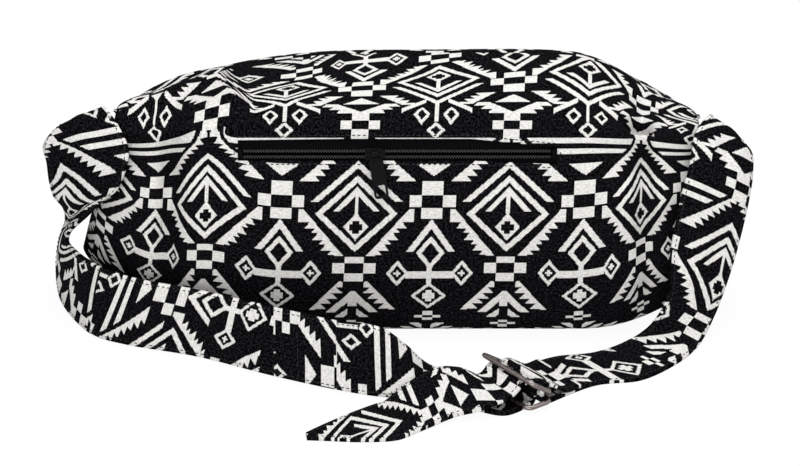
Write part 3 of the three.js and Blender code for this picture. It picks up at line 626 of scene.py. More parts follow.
def front_section():
    """Points (y, z) from the bottom seam to the top seam, with the numbers of the window's two edges."""
    low, high = band_points(-BAND_HALF, BAND_HALF, 1)
    rise = FACE_RISE * (low[1] - TOE[1])
    face = bezier([TOE, TOE + TOE_SWELL, low - BAND_UP * rise, low], FACE_STEPS)
    shoulder = SHOULDER_RISE * (CROWN[1] - high[1])
    before_crown = CROWN - (CROWN_FRONT * (CROWN[0] - high[0]), 0)
    top = bezier([high, high + BAND_UP * shoulder, before_crown, CROWN], TOP_STEPS)
    edge = WINDOW_WIDTH / 2
    under = band_points(-BAND_HALF, -edge, EDGE_STEPS)[1:]
    inside = band_points(-edge, edge, WINDOW_STEPS)[1:]
    over = band_points(edge, BAND_HALF, EDGE_STEPS)[1:]
    first = len(face) + len(under) - 1
    return np.vstack([face, under, inside, over, top[1:]]), (first, first + len(inside))


def back_section():
    """Points (y, z) from the top seam down the back, over the flat base and round the lip to the bottom."""
    rear = np.array([DEPTH, REAR_MIDDLE])
    top = bezier([CROWN, CROWN + (CROWN_BACK * CROWN_SETBACK, 0), (DEPTH, REAR_HIGH), rear], REAR_STEPS)
    heel = bezier([rear, (DEPTH, REAR_LOW), (DEPTH, 0), (BASE_BACK, 0)], HEEL_STEPS)
    base = np.column_stack([np.linspace(BASE_BACK, BASE_FRONT, BASE_POINTS), np.zeros(BASE_POINTS)])
    lip = bezier([(BASE_FRONT, 0), (LIP_FRONT, 0), TOE + TOE_LIP, TOE], LIP_STEPS)
    return np.vstack([top, heel[1:], base[1:], lip[1:]])


print("section points:", len(front_section()[0]), "in front and", len(back_section()), "behind")

# %% Stations along the bag
HALF_STRAIGHT = 115.0
WINDOW_LEFT, WINDOW_RIGHT = ZIP_CENTRE - WINDOW_LENGTH / 2, ZIP_CENTRE + WINDOW_LENGTH / 2
CAP_STATIONS, LEFT_STATIONS, WINDOW_STATIONS, RIGHT_STATIONS = 46, 5, 101, 10


def stations():
    """Places along the bag, their share of the depth, and whether they lie in the window.

    The middle is straight and each end is a quarter ellipse.
    """
    angle = np.linspace(np.pi / 2, 0, CAP_STATIONS)[:-1]
    cap_x = HALF_STRAIGHT + (HALF_LENGTH - HALF_STRAIGHT) * np.sin(angle)
    cap_depth = np.where(angle == np.pi / 2, 0, np.cos(angle))
    middle = np.concatenate([np.linspace(-HALF_STRAIGHT, WINDOW_LEFT, LEFT_STATIONS)[:-1],
                             np.linspace(WINDOW_LEFT, WINDOW_RIGHT, WINDOW_STATIONS)[:-1],
                             np.linspace(WINDOW_RIGHT, HALF_STRAIGHT, RIGHT_STATIONS)])
    x = np.concatenate([-cap_x, middle, cap_x[::-1]])
    depth = np.concatenate([cap_depth, np.ones_like(middle), cap_depth[::-1]])
    window = (x >= WINDOW_LEFT - TINY) & (x < WINDOW_RIGHT - TINY)
    return x, depth, window


def reach_at(x):
    """How far into its rounded end a place is, from 0 to 1 at the seam."""
    return np.maximum(0, (np.abs(x) - HALF_STRAIGHT) / (HALF_LENGTH - HALF_STRAIGHT))


print("stations:", len(stations()[0]))

# %% [markdown]
# The stuffing does not fill the ends, so the crown falls towards them, a deep crease stands before each end
# seam and soft gathers run out of it. A cloth simulation could find such folds, but not the ones in the
# photograph, so each is a bell or a cosine in a known place. Slow waves over the rest keep it from looking
# like plastic.

# %% Slump, creases and wrinkles
END_LOW, END_HIGH_LEFT, END_HIGH_RIGHT, END_FLARE = 34.0, 132.0, 127.0, 22.0
SLUMP_LEFT, SLUMP_RIGHT, SLUMP_MOST = 12.0, 3.6, 28.0
SLUMP_BOW_LEFT, SLUMP_BOW_RIGHT = 2.5, 6
CLOSING, CLOSING_BOW = 77, 2.5
CREASE_X = HALF_LENGTH - 35
CREASE_LEFT, CREASE_LEFT_BELL = 14, (-CREASE_X, 6.5)
CREASE_RIGHT, CREASE_RIGHT_BELL = 12, (CREASE_X, 5.5)
CREASE_FADE, FADE_SPAN = 0.6, (0.5, 0.75)
GATHER_RISE, GATHER_COUNT, GATHER_BOW = 2.2, 5, 0.7
FOLD_FOOT = 30
GAP = 0.3
WAVES, WAVE_SEED = 14, 7
WAVE_RANGES = ((-0.06, 0.06), (-0.12, 0.12), (0, 6.28), (0.4, 1))
WAVE_SHARE = 4


def heights(x, z):
    """Height of each section point at place x: the crown falls towards both ends, which close to seams."""
    share = z / HEIGHT
    bend = np.abs(x) / HALF_STRAIGHT
    slump = np.where(x < 0, SLUMP_LEFT * bend ** SLUMP_BOW_LEFT, SLUMP_RIGHT * bend ** SLUMP_BOW_RIGHT)
    band_top = band_points(BAND_HALF, BAND_HALF, 1)[0][1]
    fall = np.minimum(slump, SLUMP_MOST) * smooth_step(z, band_top, HEIGHT)
    end_z = END_LOW + (np.where(x < 0, END_HIGH_LEFT, END_HIGH_RIGHT) - END_LOW) * share
    closed = np.maximum(0, 1 - (HALF_LENGTH - np.abs(x)) / CLOSING)
    return end_z + (1 - closed ** (CLOSING_BOW - share)) * (z - fall - end_z)


def folds(x, share, creased):
    """Rise of the cloth: one upright crease before each end seam and soft gathers that run out of it."""
    reach = reach_at(x)
    arch = np.sin(np.pi * share)
    low = 1 - CREASE_FADE * smooth_step(share, *FADE_SPAN)
    left = CREASE_LEFT * bell(x, *CREASE_LEFT_BELL) * low
    right = CREASE_RIGHT * bell(x, *CREASE_RIGHT_BELL)
    crease = (left + right) * arch if creased else 0
    along = np.sin(np.pi * np.minimum(1, reach)) ** GATHER_BOW
    gathers = GATHER_RISE * np.cos(2 * GATHER_COUNT * np.pi * share) * arch * along
    return np.where(reach > 0, gathers - crease, 0)


def bag_surface(section, side, creased):
    """Carries the section along the stations: depth shrinks towards the end seam, height towards its span."""
    x, depth = (values[:, None] for values in stations()[:2])
    y, z = section.T
    grid_y = SEAM_Y + depth * (y - SEAM_Y) + side * (1 - depth) * GAP
    along = unit(np.gradient(section, axis=0))
    share = np.linspace(0, 1, len(section))
    fold = folds(x, share, creased) * depth * smooth_step(z, 0, FOLD_FOOT)
    grid_x = x + np.sign(x) * END_FLARE * (1 - z / HEIGHT) * reach_at(x) ** 2
    folded_y = grid_y - along[:, 1] * fold - SEAM_Y
    return np.stack([grid_x, folded_y, heights(x, z) + along[:, 0] * fold], axis=-1)


rng = np.random.default_rng(WAVE_SEED)
WRINKLES = np.column_stack([rng.uniform(low, high, WAVES) for low, high in WAVE_RANGES])


def wrinkle(u, v):
    """Sum of slow sine waves over the cloth, each with its own direction, phase and size, about 1 mm high."""
    waves = [size * np.sin(along * u + up * v + phase) for along, up, phase, size in WRINKLES]
    return sum(waves) / WAVE_SHARE


print("waves:", len(WRINKLES))

# %% [markdown]
# ## Cloth on the bag
#
# Each cut of cloth gets its own flat coordinates, the way along a row and the way up the section. The figures
# of the real cloth do not sit on an even grid, because sewing takes up slack at the zip, over the top and
# towards both ends. The flat cut is not known, so it cannot be sewn again by simulation. Short tables along
# the bag shift the rows instead.

# %% Flat coordinates and the lips of the window
PATTERN_X, PATTERN_SKEW = 32.1, 0.045
LIP_X = (-116, -106, -40, 40, 94, 104)
LIP_LOW = (0, 1.9, 1.7, 1.7, 0.6, 0)
LIP_HIGH = (0, 1.8, 2.7, 2.7, -2.3, 0)


def cloth_uv(points, section, zero):
    """u is the way along each row from the middle, v the way up the section from point `zero`."""
    u = lengths_along(points, 0)
    middle = np.argmin(np.abs(points[:, 0, 0]))
    u = u - u[middle]
    v = lengths_along(section[None], 1)[0]
    v = v - np.interp(zero, np.arange(len(v)), v)
    v = np.broadcast_to(v, u.shape)
    return np.stack([u + PATTERN_X - PATTERN_SKEW * (v - UPRIGHT_CENTRE), v], axis=-1)


def lip_shift(x, v):
    """How far the band's cloth is pulled up: a tent over each lip of the window, by tables along the zip."""
    edges = (-WINDOW_WIDTH / 2, WINDOW_WIDTH / 2)
    low, high = (np.maximum(0, 1 - np.abs(v - edge) / BAND_HALF) for edge in edges)
    return np.interp(x, LIP_X, LIP_LOW) * low + np.interp(x, LIP_X, LIP_HIGH) * high


print("lips pulled up by at most", max(LIP_LOW + LIP_HIGH), "mm")

# %% The loose left shoulder
SHOULDER_V = (12, 16.4, 27, 40, 52.5, 63, 79, 100)
SHOULDER_IN = (7, 9.4, 15.6, 21, 26.3, 36, 50, 70)
SHOULDER_OUT = (9.6, 13.4, 17.8, 21.8, 26.6, 31.2, 39, 49)
OUT_SPAN = (128, 156)
STRIPE_TOP, STRIPE_SPAN = 10.4, (-119, -114)
TUCK_V, TUCK_X, TUCK_HALF = (37, 79), (-99, -116), 5
LOOSE_RISE = (8, 18)


def left_shoulder(x, v, risen):
    """Left of a slanting tuck the cloth lies looser: its rows come from two tables, blended along the bag."""
    out = smooth_step(-x, *OUT_SPAN)
    loose = np.interp(v, SHOULDER_V, SHOULDER_IN) * (1 - out) + np.interp(v, SHOULDER_V, SHOULDER_OUT) * out
    loose = np.maximum(loose, STRIPE_TOP * smooth_step(x, *STRIPE_SPAN))
    tuck = np.interp(v, TUCK_V, TUCK_X)
    share = smooth_step(v, *LOOSE_RISE) * (1 - smooth_step(x - tuck, -TUCK_HALF, TUCK_HALF))
    return risen * (1 - share) + loose * share


print("the tuck runs from", TUCK_X[0], "to", TUCK_X[1], "mm along the bag")

# %% Slack taken up by the sewing
GATHER_X = (-172, -140, -98, 0, 110)
GATHER = (0.2, 0.5, 1.3, 0.79, 0.2)
TOP_FROM, TOP_TO, BEYOND_TOP = 27, 60, 0.6
LIFT_LEFT, LIFT_LEFT_BELL = 7.5, (-122, 24)
LIFT_RIGHT, LIFT_RIGHT_SPAN = 5, (100, 150)
ZIP_HOLD, ZIP_HOLD_BELL = 0.55, (8, 8)
HELD_SPAN, HELD_RISE = (-120, -106), (-4, 6)
DRAWN_FROM, DRAWN_BOW, DRAWN_MOST = 120, 1.5, 380
DRAWN_LEFT, DRAWN_RIGHT = -0.036, 0.05
EYE_BELL, EYE_SHEAR, SHEAR_RISE = (-67, 26), 11.4, (44, 54)
EYE_V = (27, 36.5, 50, 60, 75)
EYE = (0, -4.1, 15.6, 10.2, 9)


def slack(x, uv):
    """Cloth taken up by the sewing: rows close up over the top and columns close up towards both ends.

    A tuck beside the eye-shaped figure, on the left of the top, shifts its rows and shears its columns.
    """
    u, v = uv[..., 0], uv[..., 1]
    taken = np.clip(v - TOP_FROM, 0, TOP_TO - TOP_FROM) + BEYOND_TOP * np.maximum(0, v - TOP_TO)
    lift = LIFT_LEFT * bell(x, *LIFT_LEFT_BELL) + LIFT_RIGHT * smooth_step(x, *LIFT_RIGHT_SPAN)
    lift = lift * (1 - ZIP_HOLD * bell(v, *ZIP_HOLD_BELL))
    held = smooth_step(x, *HELD_SPAN) * smooth_step(v, *HELD_RISE)
    lift = lift * (1 - (x < 0) * held)
    drawn_in = np.minimum(np.maximum(0, np.abs(x) - DRAWN_FROM) ** DRAWN_BOW, DRAWN_MOST)
    eye = bell(x, *EYE_BELL)
    sheared = EYE_SHEAR * smooth_step(v, *SHEAR_RISE) * eye
    u = u + np.where(x < 0, DRAWN_LEFT, DRAWN_RIGHT) * drawn_in - sheared
    risen = v + np.interp(x, GATHER_X, GATHER) * taken - lift + np.interp(v, EYE_V, EYE) * eye
    return np.stack([u, left_shoulder(x, v, risen)], axis=-1)


print("rows close up by a factor of", 1 + min(GATHER), "to", 1 + max(GATHER))

# %% Front cloth
CLOTH = 1.8
CALM_RISE = (9, 26)
LOW_SEAM_FADE, HIGH_SEAM_FADE, END_FADE = 0.08, 0.06, 0.35
SWELL, TOP_SWELL, TOP_SWELL_RISE = 0.6, 1.5, (12, 40)
PINCH_X, PINCH_V, PINCH_DEEP, PINCH_REACH = 147.0, 26.0, 6, 9
FAN_RISE, FAN_COUNT, FAN_REACH, FAN_ROOM = 1.6, 5, 20, 7


def pinch(x, v):
    """A dimple under the right strap: a bell with five folds that fan out of it."""
    away_x, away_v = x - PINCH_X, v - PINCH_V
    away = np.hypot(away_x, away_v)
    fan = FAN_RISE * np.cos(FAN_COUNT * np.arctan2(away_v, away_x))
    fan = fan * bell(away, 0, FAN_REACH) * (1 - bell(away, 0, FAN_ROOM))
    return fan - PINCH_DEEP * bell(away, 0, PINCH_REACH)


section, (edge_low, edge_high) = front_section()
_, depth_share, in_window = stations()
front_points = bag_surface(section, -1, True)
front_uv = cloth_uv(front_points, section, (edge_low + edge_high) / 2)
v = front_uv[..., 1]
pulled = lip_shift(front_points[..., 0], v)
front_points[..., 1:] += pulled[..., None] * BAND_UP
calm = smooth_step(np.abs(v), *CALM_RISE)
seams = smooth_step(np.linspace(0, 1, v.shape[1]), 0, LOW_SEAM_FADE)
seams = seams * smooth_step(np.linspace(1, 0, v.shape[1]), 0, HIGH_SEAM_FADE)
ends = smooth_step(depth_share, 0, END_FADE)[:, None]
swell = SWELL + TOP_SWELL * smooth_step(v, *TOP_SWELL_RISE)
swell = swell * wrinkle(front_uv[..., 0], v) * calm + pinch(front_points[..., 0], v)
front_uv = slack(front_points[..., 0], front_uv + pulled[..., None] * (0, 1))
front_points = front_points + grid_normals(front_points) * (swell * seams * ends)[..., None]
keep = np.ones((front_points.shape[0] - 1, front_points.shape[1] - 1), dtype=bool)
keep[np.ix_(in_window[:-1], np.arange(edge_low, edge_high))] = False
front_quads = grid_quads(*front_points.shape[:2], keep=keep)
front = make_piece("front_cloth", front_points, front_quads, jacquard_cloth, "bag", front_uv)
thicken(front, CLOTH, -1)
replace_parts(front, "front_panel")

# %% Back cloth
BACK_TOP = 98
BACK_SWELL, BACK_WAVE, BACK_FOOT = 1.6, 90, 40
back_line = back_section()
back_points = bag_surface(back_line, 1, False)
back_uv = cloth_uv(back_points, back_line, 0)
back_uv = np.stack([back_uv[..., 0], BACK_TOP - back_uv[..., 1]], axis=-1)
fade = np.sin(np.linspace(0, np.pi, back_points.shape[1])) * smooth_step(back_line[:, 1], 0, BACK_FOOT) * ends
swell = BACK_SWELL * wrinkle(back_uv[..., 0] + BACK_WAVE, back_uv[..., 1]) * fade
back_points = back_points + grid_normals(back_points) * swell[..., None]
back_quads = grid_quads(*back_points.shape[:2])
back = make_piece("back_cloth", back_points, back_quads, jacquard_cloth, "bag", back_uv)
thicken(back, CLOTH, -1)
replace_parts(back, "back_panel")


def flat_size(points):
    """Longest way along and longest way up a grid, in metres."""
    return tuple(float(lengths_along(points, axis).max()) * MM for axis in (0, 1))


flat_size(front_points)
flat_size(back_points)

# %% [markdown]
# ## Straps
#
# A strap is a band of cloth sewn double. Its two edges are smooth curves through a few known places, and the
# band is the ruled surface between them. One curve with a twist would need fewer numbers, but a fold is seen
# by its edges. The strap hangs from the end seam, comes forward and lies on the table. The left one passes
# through the rings and turns back, the right one ends in a sewn loop.

# %% Heights in the lock
STRAP_WIDTH, STRAP_THICK = 43.0, 2.2
RING_WIRE, RING_WIDTH, RING_LENGTH, RING_CORNER = 3.2, 54.0, 21.2, 4.0
LAYER = STRAP_THICK / 2
RING_LOW = LAYER + STRAP_THICK / 2 + GAP + RING_WIRE / 2
TAIL_LAYER = RING_LOW + RING_WIRE / 2 + GAP + STRAP_THICK / 2
RING_HIGH = TAIL_LAYER + STRAP_THICK / 2 + GAP + RING_WIRE / 2
LOOP_TOP = RING_HIGH + RING_WIRE / 2 + GAP + STRAP_THICK / 2
REST_LAYER = LAYER + STRAP_THICK + 2 * GAP
BAR = (RING_LENGTH - RING_WIRE) / 2
RING_LIFT = math.radians(35)
FREE_S = BAR - 2 * BAR * math.cos(RING_LIFT)
PEAK = RING_HIGH + 2 * BAR * math.sin(RING_LIFT) - RING_WIRE / 2 - GAP - STRAP_THICK / 2
print("layers of the lock:", [round(z, 2) for z in (LAYER, RING_LOW, TAIL_LAYER, RING_HIGH, LOOP_TOP)])

# %% Edge curves
LOCK_AT = np.array([67.0, -75.0])
LOCK_TURN = math.radians(38)
SPLINE_STEPS = 10


def routed(rows):
    """Pairs of edge points from shares of the bag's half length, its depth and the strap's width."""
    scale = np.array([HALF_LENGTH, DEPTH, STRAP_WIDTH])
    return np.array([[a, b] for a, b in rows]) * scale - (0, SEAM_Y, 0)


def at_lock(s, y, n):
    """A place in the lock's own frame: s along the strap, y to its far edge, n up from the table."""
    c, t = math.cos(LOCK_TURN), math.sin(LOCK_TURN)
    return np.stack([LOCK_AT[0] + c * s - t * y, LOCK_AT[1] + t * s + c * y - SEAM_Y, n + 0 * s], axis=-1)


def across_lock(rows, share=1.0):
    s, n = np.array(rows, dtype=float).T
    half = np.full_like(s, share * STRAP_WIDTH / 2)
    return np.stack([at_lock(s, half, n), at_lock(s, -half, n)], axis=1)


def spline(points):
    """Centripetal Catmull-Rom curve: cubic spans whose tangents weigh both neighbours by root distance."""
    p = np.concatenate([2 * points[:1] - points[1:2], points, 2 * points[-1:] - points[-2:-1]])
    gap = np.linalg.norm(np.diff(p, axis=0), axis=-1)[:, None] ** 0.5
    before, here, after = gap[:-2], gap[1:-1], gap[2:]
    p0, p1, p2, p3 = p[:-3], p[1:-2], p[2:-1], p[3:]
    out = ((p1 - p0) / before - (p2 - p0) / (before + here) + (p2 - p1) / here) * here
    into = ((p2 - p1) / here - (p3 - p1) / (here + after) + (p3 - p2) / after) * here
    t = np.linspace(0, 1, SPLINE_STEPS + 1)[:-1, None, None]
    curve = ((2 * t ** 3 - 3 * t ** 2 + 1) * p1 + (t ** 3 - 2 * t ** 2 + t) * out
             + (3 * t ** 2 - 2 * t ** 3) * p2 + (t ** 3 - t ** 2) * into)
    return np.concatenate([curve.transpose(1, 0, 2).reshape(-1, 3), points[-1:]])


print("a curve through five points has", len(spline(np.eye(5, 3))), "points")

# %% [markdown]
# Each row below is one pair of edge points, the far edge first: the place along the bag in half lengths, the
# place across in depths and the height in strap widths.

# %% Routes of the straps
LIE = LAYER / STRAP_WIDTH
LEFT_ROUTE = [
    ([-1.044, 0.578, 2.930], [-1.176, 0.629, 2.488]), ([-1.041, 0.534, 3.047], [-1.198, 0.586, 2.616]),
    ([-0.992, 0.405, 2.919], [-1.253, 0.500, 2.465]), ([-0.959, 0.310, 2.698], [-1.242, 0.448, 2.279]),
    ([-0.962, 0.259, 2.512], [-1.234, 0.431, 2.000]), ([-1.000, 0.250, 2.081], [-1.220, 0.440, 1.744]),
    ([-1.044, 0.267, 1.895], [-1.187, 0.534, 1.407]), ([-1.099, 0.328, 1.581], [-1.181, 0.638, 1.009]),
    ([-1.170, 0.397, 1.186], [-1.203, 0.690, 0.637]), ([-1.176, 0.379, 1.070], [-1.214, 0.672, 0.302]),
    ([-1.148, 0.276, 1.070], [-1.203, 0.466, 0.056]), ([-1.099, 0.147, 1.093], [-1.154, 0.224, LIE]),
    ([-1.033, 0.034, 1.093], [-1.077, 0.017, LIE]), ([-0.934, -0.017, 1.023], [-0.967, -0.086, LIE]),
    ([-0.703, -0.129, 0.977], [-0.720, -0.224, LIE]), ([-0.462, -0.293, 0.953], [-0.462, -0.440, LIE]),
    ([-0.247, -0.448, 0.953], [-0.247, -0.595, LIE]), ([-0.099, -0.509, 0.930], [-0.088, -0.681, LIE]),
    ([-0.005, -0.466, 0.558], [0.022, -0.698, LIE]), ([0.066, -0.397, 0.151], [0.088, -0.716, LIE]),
    ([0.137, -0.422, 0.042], [0.170, -0.759, LIE]),
]
TAIL_ROUTE = [
    ([0.181, -0.534, 0.279], [0.258, -0.914, 0.163]), ([0.093, -0.543, 0.291], [0.165, -0.948, 0.105]),
    ([-0.011, -0.694, 0.209], [0.049, -1.052, LIE]), ([-0.077, -0.741, LIE], [-0.033, -1.151, LIE]),
    ([-0.176, -0.853, LIE], [-0.165, -1.172, LIE]), ([-0.275, -0.987, LIE], [-0.264, -1.160, LIE]),
    ([-0.346, -1.095, LIE], [-0.341, -1.151, LIE]),
]
RIGHT_ROUTE = [
    ([1.044, 0.578, 2.767], [1.115, 0.629, 2.349]), ([1.041, 0.534, 2.919], [1.135, 0.595, 2.488]),
    ([0.995, 0.397, 2.826], [1.187, 0.517, 2.349]), ([0.984, 0.319, 2.674], [1.190, 0.414, 2.116]),
    ([0.971, 0.259, 2.442], [1.179, 0.328, 1.884]), ([0.951, 0.190, 2.198], [1.165, 0.276, 1.628]),
    ([0.926, 0.095, 1.767], [1.135, 0.190, 1.174]), ([0.907, 0.017, 1.386], [1.110, 0.121, 0.872]),
    ([0.901, -0.078, 0.884], [1.060, 0.017, 0.372]), ([0.846, -0.155, 0.488], [1.000, -0.138, 0.056]),
    ([0.747, -0.207, 0.233], [0.923, -0.310, LIE]), ([0.648, -0.233, 0.093], [0.802, -0.483, LIE]),
]
BUNCHED = 0.8
ROOT_DOWN = np.array([10.0, 32.0])
ROOT_CLEAR = 1
TURN_POINTS = 4
LOOP_LEAD, LOOP_SEWN, LOOP_BEND = 39, 27, 2
LOOP_MEETS = 0.6 * LOOP_SEWN


def root(side):
    """Gathered end of a strap: 22 mm of the end seam, from 10 mm under its top."""
    top = END_HIGH_LEFT if side < 0 else END_HIGH_RIGHT
    x = HALF_LENGTH + END_FLARE * ROOT_DOWN / (top - END_LOW) + ROOT_CLEAR
    return np.stack([side * x, 0 * x, top - ROOT_DOWN], axis=-1)[None]


turn_radius = (PEAK - LAYER) / 2
turn = [(RING_WIRE * math.cos(t), LAYER + turn_radius * (1 + math.sin(t)))
        for t in np.linspace(-np.pi / 2, np.pi / 4, TURN_POINTS)]
threaded = [(-STRAP_WIDTH / 2, LAYER), *turn, (FREE_S, PEAK), (-STRAP_WIDTH / 3, (PEAK + TAIL_LAYER) / 2)]
left_lock = across_lock(threaded, BUNCHED)
left_pairs = np.concatenate([root(-1), routed(LEFT_ROUTE), left_lock, routed(TAIL_ROUTE)])
loop_s = BAR - RING_WIRE / 2 - GAP - STRAP_THICK / 2
loop = [(BAR + LOOP_LEAD, LAYER), (BAR + RING_WIRE, LAYER), (loop_s + LOOP_BEND, LAYER),
        (loop_s, LAYER + LOOP_BEND), (loop_s, LOOP_TOP - LOOP_BEND), (loop_s + LOOP_BEND, LOOP_TOP),
        (BAR + RING_WIRE / 2, LOOP_TOP), (BAR + LOOP_SEWN / 3, (LOOP_TOP + REST_LAYER) / 2),
        (BAR + LOOP_MEETS, REST_LAYER), (BAR + LOOP_SEWN, REST_LAYER)]
right_pairs = np.concatenate([root(1), routed(RIGHT_ROUTE), across_lock(loop)])
print("edge pairs:", len(left_pairs), len(right_pairs))

# %% [markdown]
# The figures on a strap follow its length. Folds hide parts of the cloth, so the weave is laid by a short
# table: the way along, v at the far edge, the drawing's axis from the far edge, and the skew. Two rows at the
# same place make a jump, as at a fold.

# %% Weave of the straps
ACROSS = 14
CUT = 0.01
LEFT_WEAVE = [
    (0, 54, 50, 0), (60, -6, 46, 0), (100, -46, 32, 0), (133, -79, 30, 0), (133, 80, 44, 0), (208, 5, 44, 0),
    (208, 28.3, 51.2, 0.24), (260, -29, 52, 0.24), (312, -86.5, 55, 0.24), (331, -103, 56, 0.24),
    (331, 27, 2, 0), (347.5, 10.5, 2, 0), (347.5, -1, -11.5, 0), (374, -27.5, -11.5, 0),
    (374, 35, 50, 0), (523, -114, 50, 0), (523, 82.5, 31, 0), (570, 35.5, 31, 0),
    (587, 18.5, 35, 0), (610, -4.5, 30, 0), (700, -94.5, 30, 0),
]
RIGHT_WEAVE = [(0, 82, 38, 0), (90, -8, 38, 0), (128, -46, 36, 0), (158, -76, 26, 0), (340, -258, 24, 0)]


def strap_grid(pairs):
    """Ruled surface between the edge curves, never lower than half the strap's thickness."""
    far, near = spline(pairs[:, 0]), spline(pairs[:, 1])
    share = np.linspace(0, 1, ACROSS + 1)[:, None]
    points = far[:, None] * (1 - share) + near[:, None] * share
    points[..., 2] = np.maximum(points[..., 2], LAYER)
    return points


def with_cuts(points, weave):
    """Adds a hair-thin pair of rows wherever the weave's table jumps, so that the jump is a clean seam."""
    along = lengths_along(points, 0).mean(axis=1)
    jumps = [first[0] for first, second in zip(weave, weave[1:]) if first[0] == second[0]]
    at = np.sort(np.concatenate([along, np.array(jumps) - CUT, np.array(jumps) + CUT]))
    columns = points.reshape(len(points), -1).T
    rows = np.stack([np.interp(at, along, column) for column in columns], axis=-1)
    return rows.reshape(-1, *points.shape[1:])


def strap_uv(points, weave):
    """u across the strap from the drawing's axis, v along it, read with straight lines from the table."""
    along = lengths_along(points, 0).mean(axis=1, keepdims=True)
    across = lengths_along(points, 1)
    at, level, axis, skew = np.array(weave, dtype=float).T
    level, axis, skew = (np.interp(along, at, values) for values in (level, axis, skew))
    return np.stack([across - axis, level - skew * across], axis=-1)


print("rows of the weave's tables:", len(LEFT_WEAVE), len(RIGHT_WEAVE))

# %% Strap cloth
BULGE, RIPPLE = 3.0, 0.9
RIPPLE_ALONG, RIPPLE_ACROSS = 1.6, 60
FREE_RISE, ROOT_SPAN = (9, 55), (12, 40)


def shaped(points, side):
    """Soft form of a strap off the table: it swells across its width and ripples a little."""
    along = lengths_along(points, 0)
    share = np.linspace(-1, 1, ACROSS + 1)
    free = smooth_step(points[..., 2], *FREE_RISE)
    ripple = RIPPLE * wrinkle(along * RIPPLE_ALONG, RIPPLE_ACROSS * share)
    rise = (side * BULGE * (1 - share ** 2) + ripple) * free
    return points + grid_normals(points) * (rise * smooth_step(along, *ROOT_SPAN))[..., None]


def make_strap(name, node, pairs, side, weave):
    """Builds one strap and gives back its middle surface, for the stitches."""
    flat = with_cuts(strap_grid(pairs), weave)
    uv = strap_uv(flat, weave)
    points = shaped(flat, side)
    piece = make_piece(name, points, grid_quads(*points.shape[:2]), jacquard_cloth, "bag", uv)
    thicken(piece, STRAP_THICK, 0)
    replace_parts(piece, node)
    width = float(lengths_along(points, 1)[:, -1].max()) * MM
    length = float(lengths_along(points, 0)[-1].max()) * MM
    return points


left_points = make_strap("left_strap_cloth", "left_strap", left_pairs, -1, LEFT_WEAVE)
right_points = make_strap("right_strap_cloth", "right_strap", right_pairs, 1, RIGHT_WEAVE)

# %% [markdown]
# ## Rings
#
# The lock is a pair of bent wire rectangles with rounded corners. A circle carried along that path gives each
# ring, which is shorter than joining rods and bends. The lower ring lies flat between the layers of strap,
# and the upper one is tipped up about the bar that the sewn loop holds.

# %% Wire rings
CORNER_STEPS, WIRE_SIDES = 8, 14


def sweep(path, profile, up):
    """Closed path times closed profile: each point is the path plus the profile's side and up parts."""
    along = np.roll(path, -1, axis=0) - np.roll(path, 1, axis=0)
    side = unit(np.cross(along, up))
    up = np.broadcast_to(up, side.shape)
    return path[:, None] + profile[None, :, :1] * side[:, None] + profile[None, :, 1:] * up[:, None]


def rounded_rectangle(half_x, half_y, corner, steps):
    """Four quarter circles joined by straight sides, as points (x, y)."""
    t = np.linspace(0, np.pi / 2, steps + 1)
    turns = np.concatenate([t + k * np.pi / 2 for k in range(4)])
    centre = np.repeat([[1, 1], [-1, 1], [-1, -1], [1, -1]], steps + 1, axis=0)
    centre = centre * (half_x - corner, half_y - corner)
    return centre + corner * np.column_stack([np.cos(turns), np.sin(turns)])


def circle(radius, sides):
    t = np.linspace(0, 2 * np.pi, sides, endpoint=False)
    return radius * np.column_stack([np.cos(t), np.sin(t)])


def wire_ring(name, node, body, height, lift):
    """A ring in the lock's frame, tipped up about its held bar."""
    flat = rounded_rectangle(BAR, (RING_WIDTH - RING_WIRE) / 2, RING_CORNER, CORNER_STEPS)
    path = np.column_stack([flat, 0 * flat[:, 0]])
    ring = sweep(path, circle(RING_WIRE / 2, WIRE_SIDES), np.array([0, 0, 1.0]))
    s, y, n = ring[..., 0] - BAR, ring[..., 1], ring[..., 2]
    tipped_s = BAR + s * math.cos(lift) + n * math.sin(lift)
    points = at_lock(tipped_s, y, height - s * math.sin(lift) + n * math.cos(lift))
    ring = make_piece(name, points, grid_quads(*points.shape[:2], True, True), gunmetal, body)
    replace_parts(ring, node)


wire_ring("lower_ring", "ring_bottom", "bag", RING_LOW, 0)
wire_ring("upper_ring", "ring_top", "upper_ring", RING_HIGH, RING_LIFT)

# %% [markdown]
# ## Zip
#
# Each row of teeth is one nylon wire wound into a flattened helix, so it is built as a helix and not tooth by
# tooth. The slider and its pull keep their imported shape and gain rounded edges. Tapes and end tacks stay as
# packed.

# %% Coils
COIL_CENTRE, COIL_HALF, COIL_DEEP, COIL_THICK = 1.8, 0.87, -0.8, 0.67
COIL_PITCH, COIL_WIRE = 1.7, 0.3
CHAIN_LENGTH = 192.4
COIL_POINTS, COIL_SIDES = 12, 6


def at_zip(x, t, n):
    """A place in the zip's own frame: x along the bag, t up the leaning band, n out of the cloth."""
    up_y, up_z = BAND_UP
    return np.stack([x, ZIP_BACK + t * up_y - n * up_z - SEAM_Y, ZIP_HIGH + t * up_z + n * up_y], axis=-1)


def tube(path, radius, sides, across):
    """A round wire along an open path: circles set square to the path, turned by the direction `across`."""
    along = np.gradient(path, axis=0)
    side = unit(np.cross(along, across))
    up = unit(np.cross(side, along))
    ring = circle(radius, sides)
    return path[:, None] + ring[None, :, :1] * side[:, None] + ring[None, :, 1:] * up[:, None]


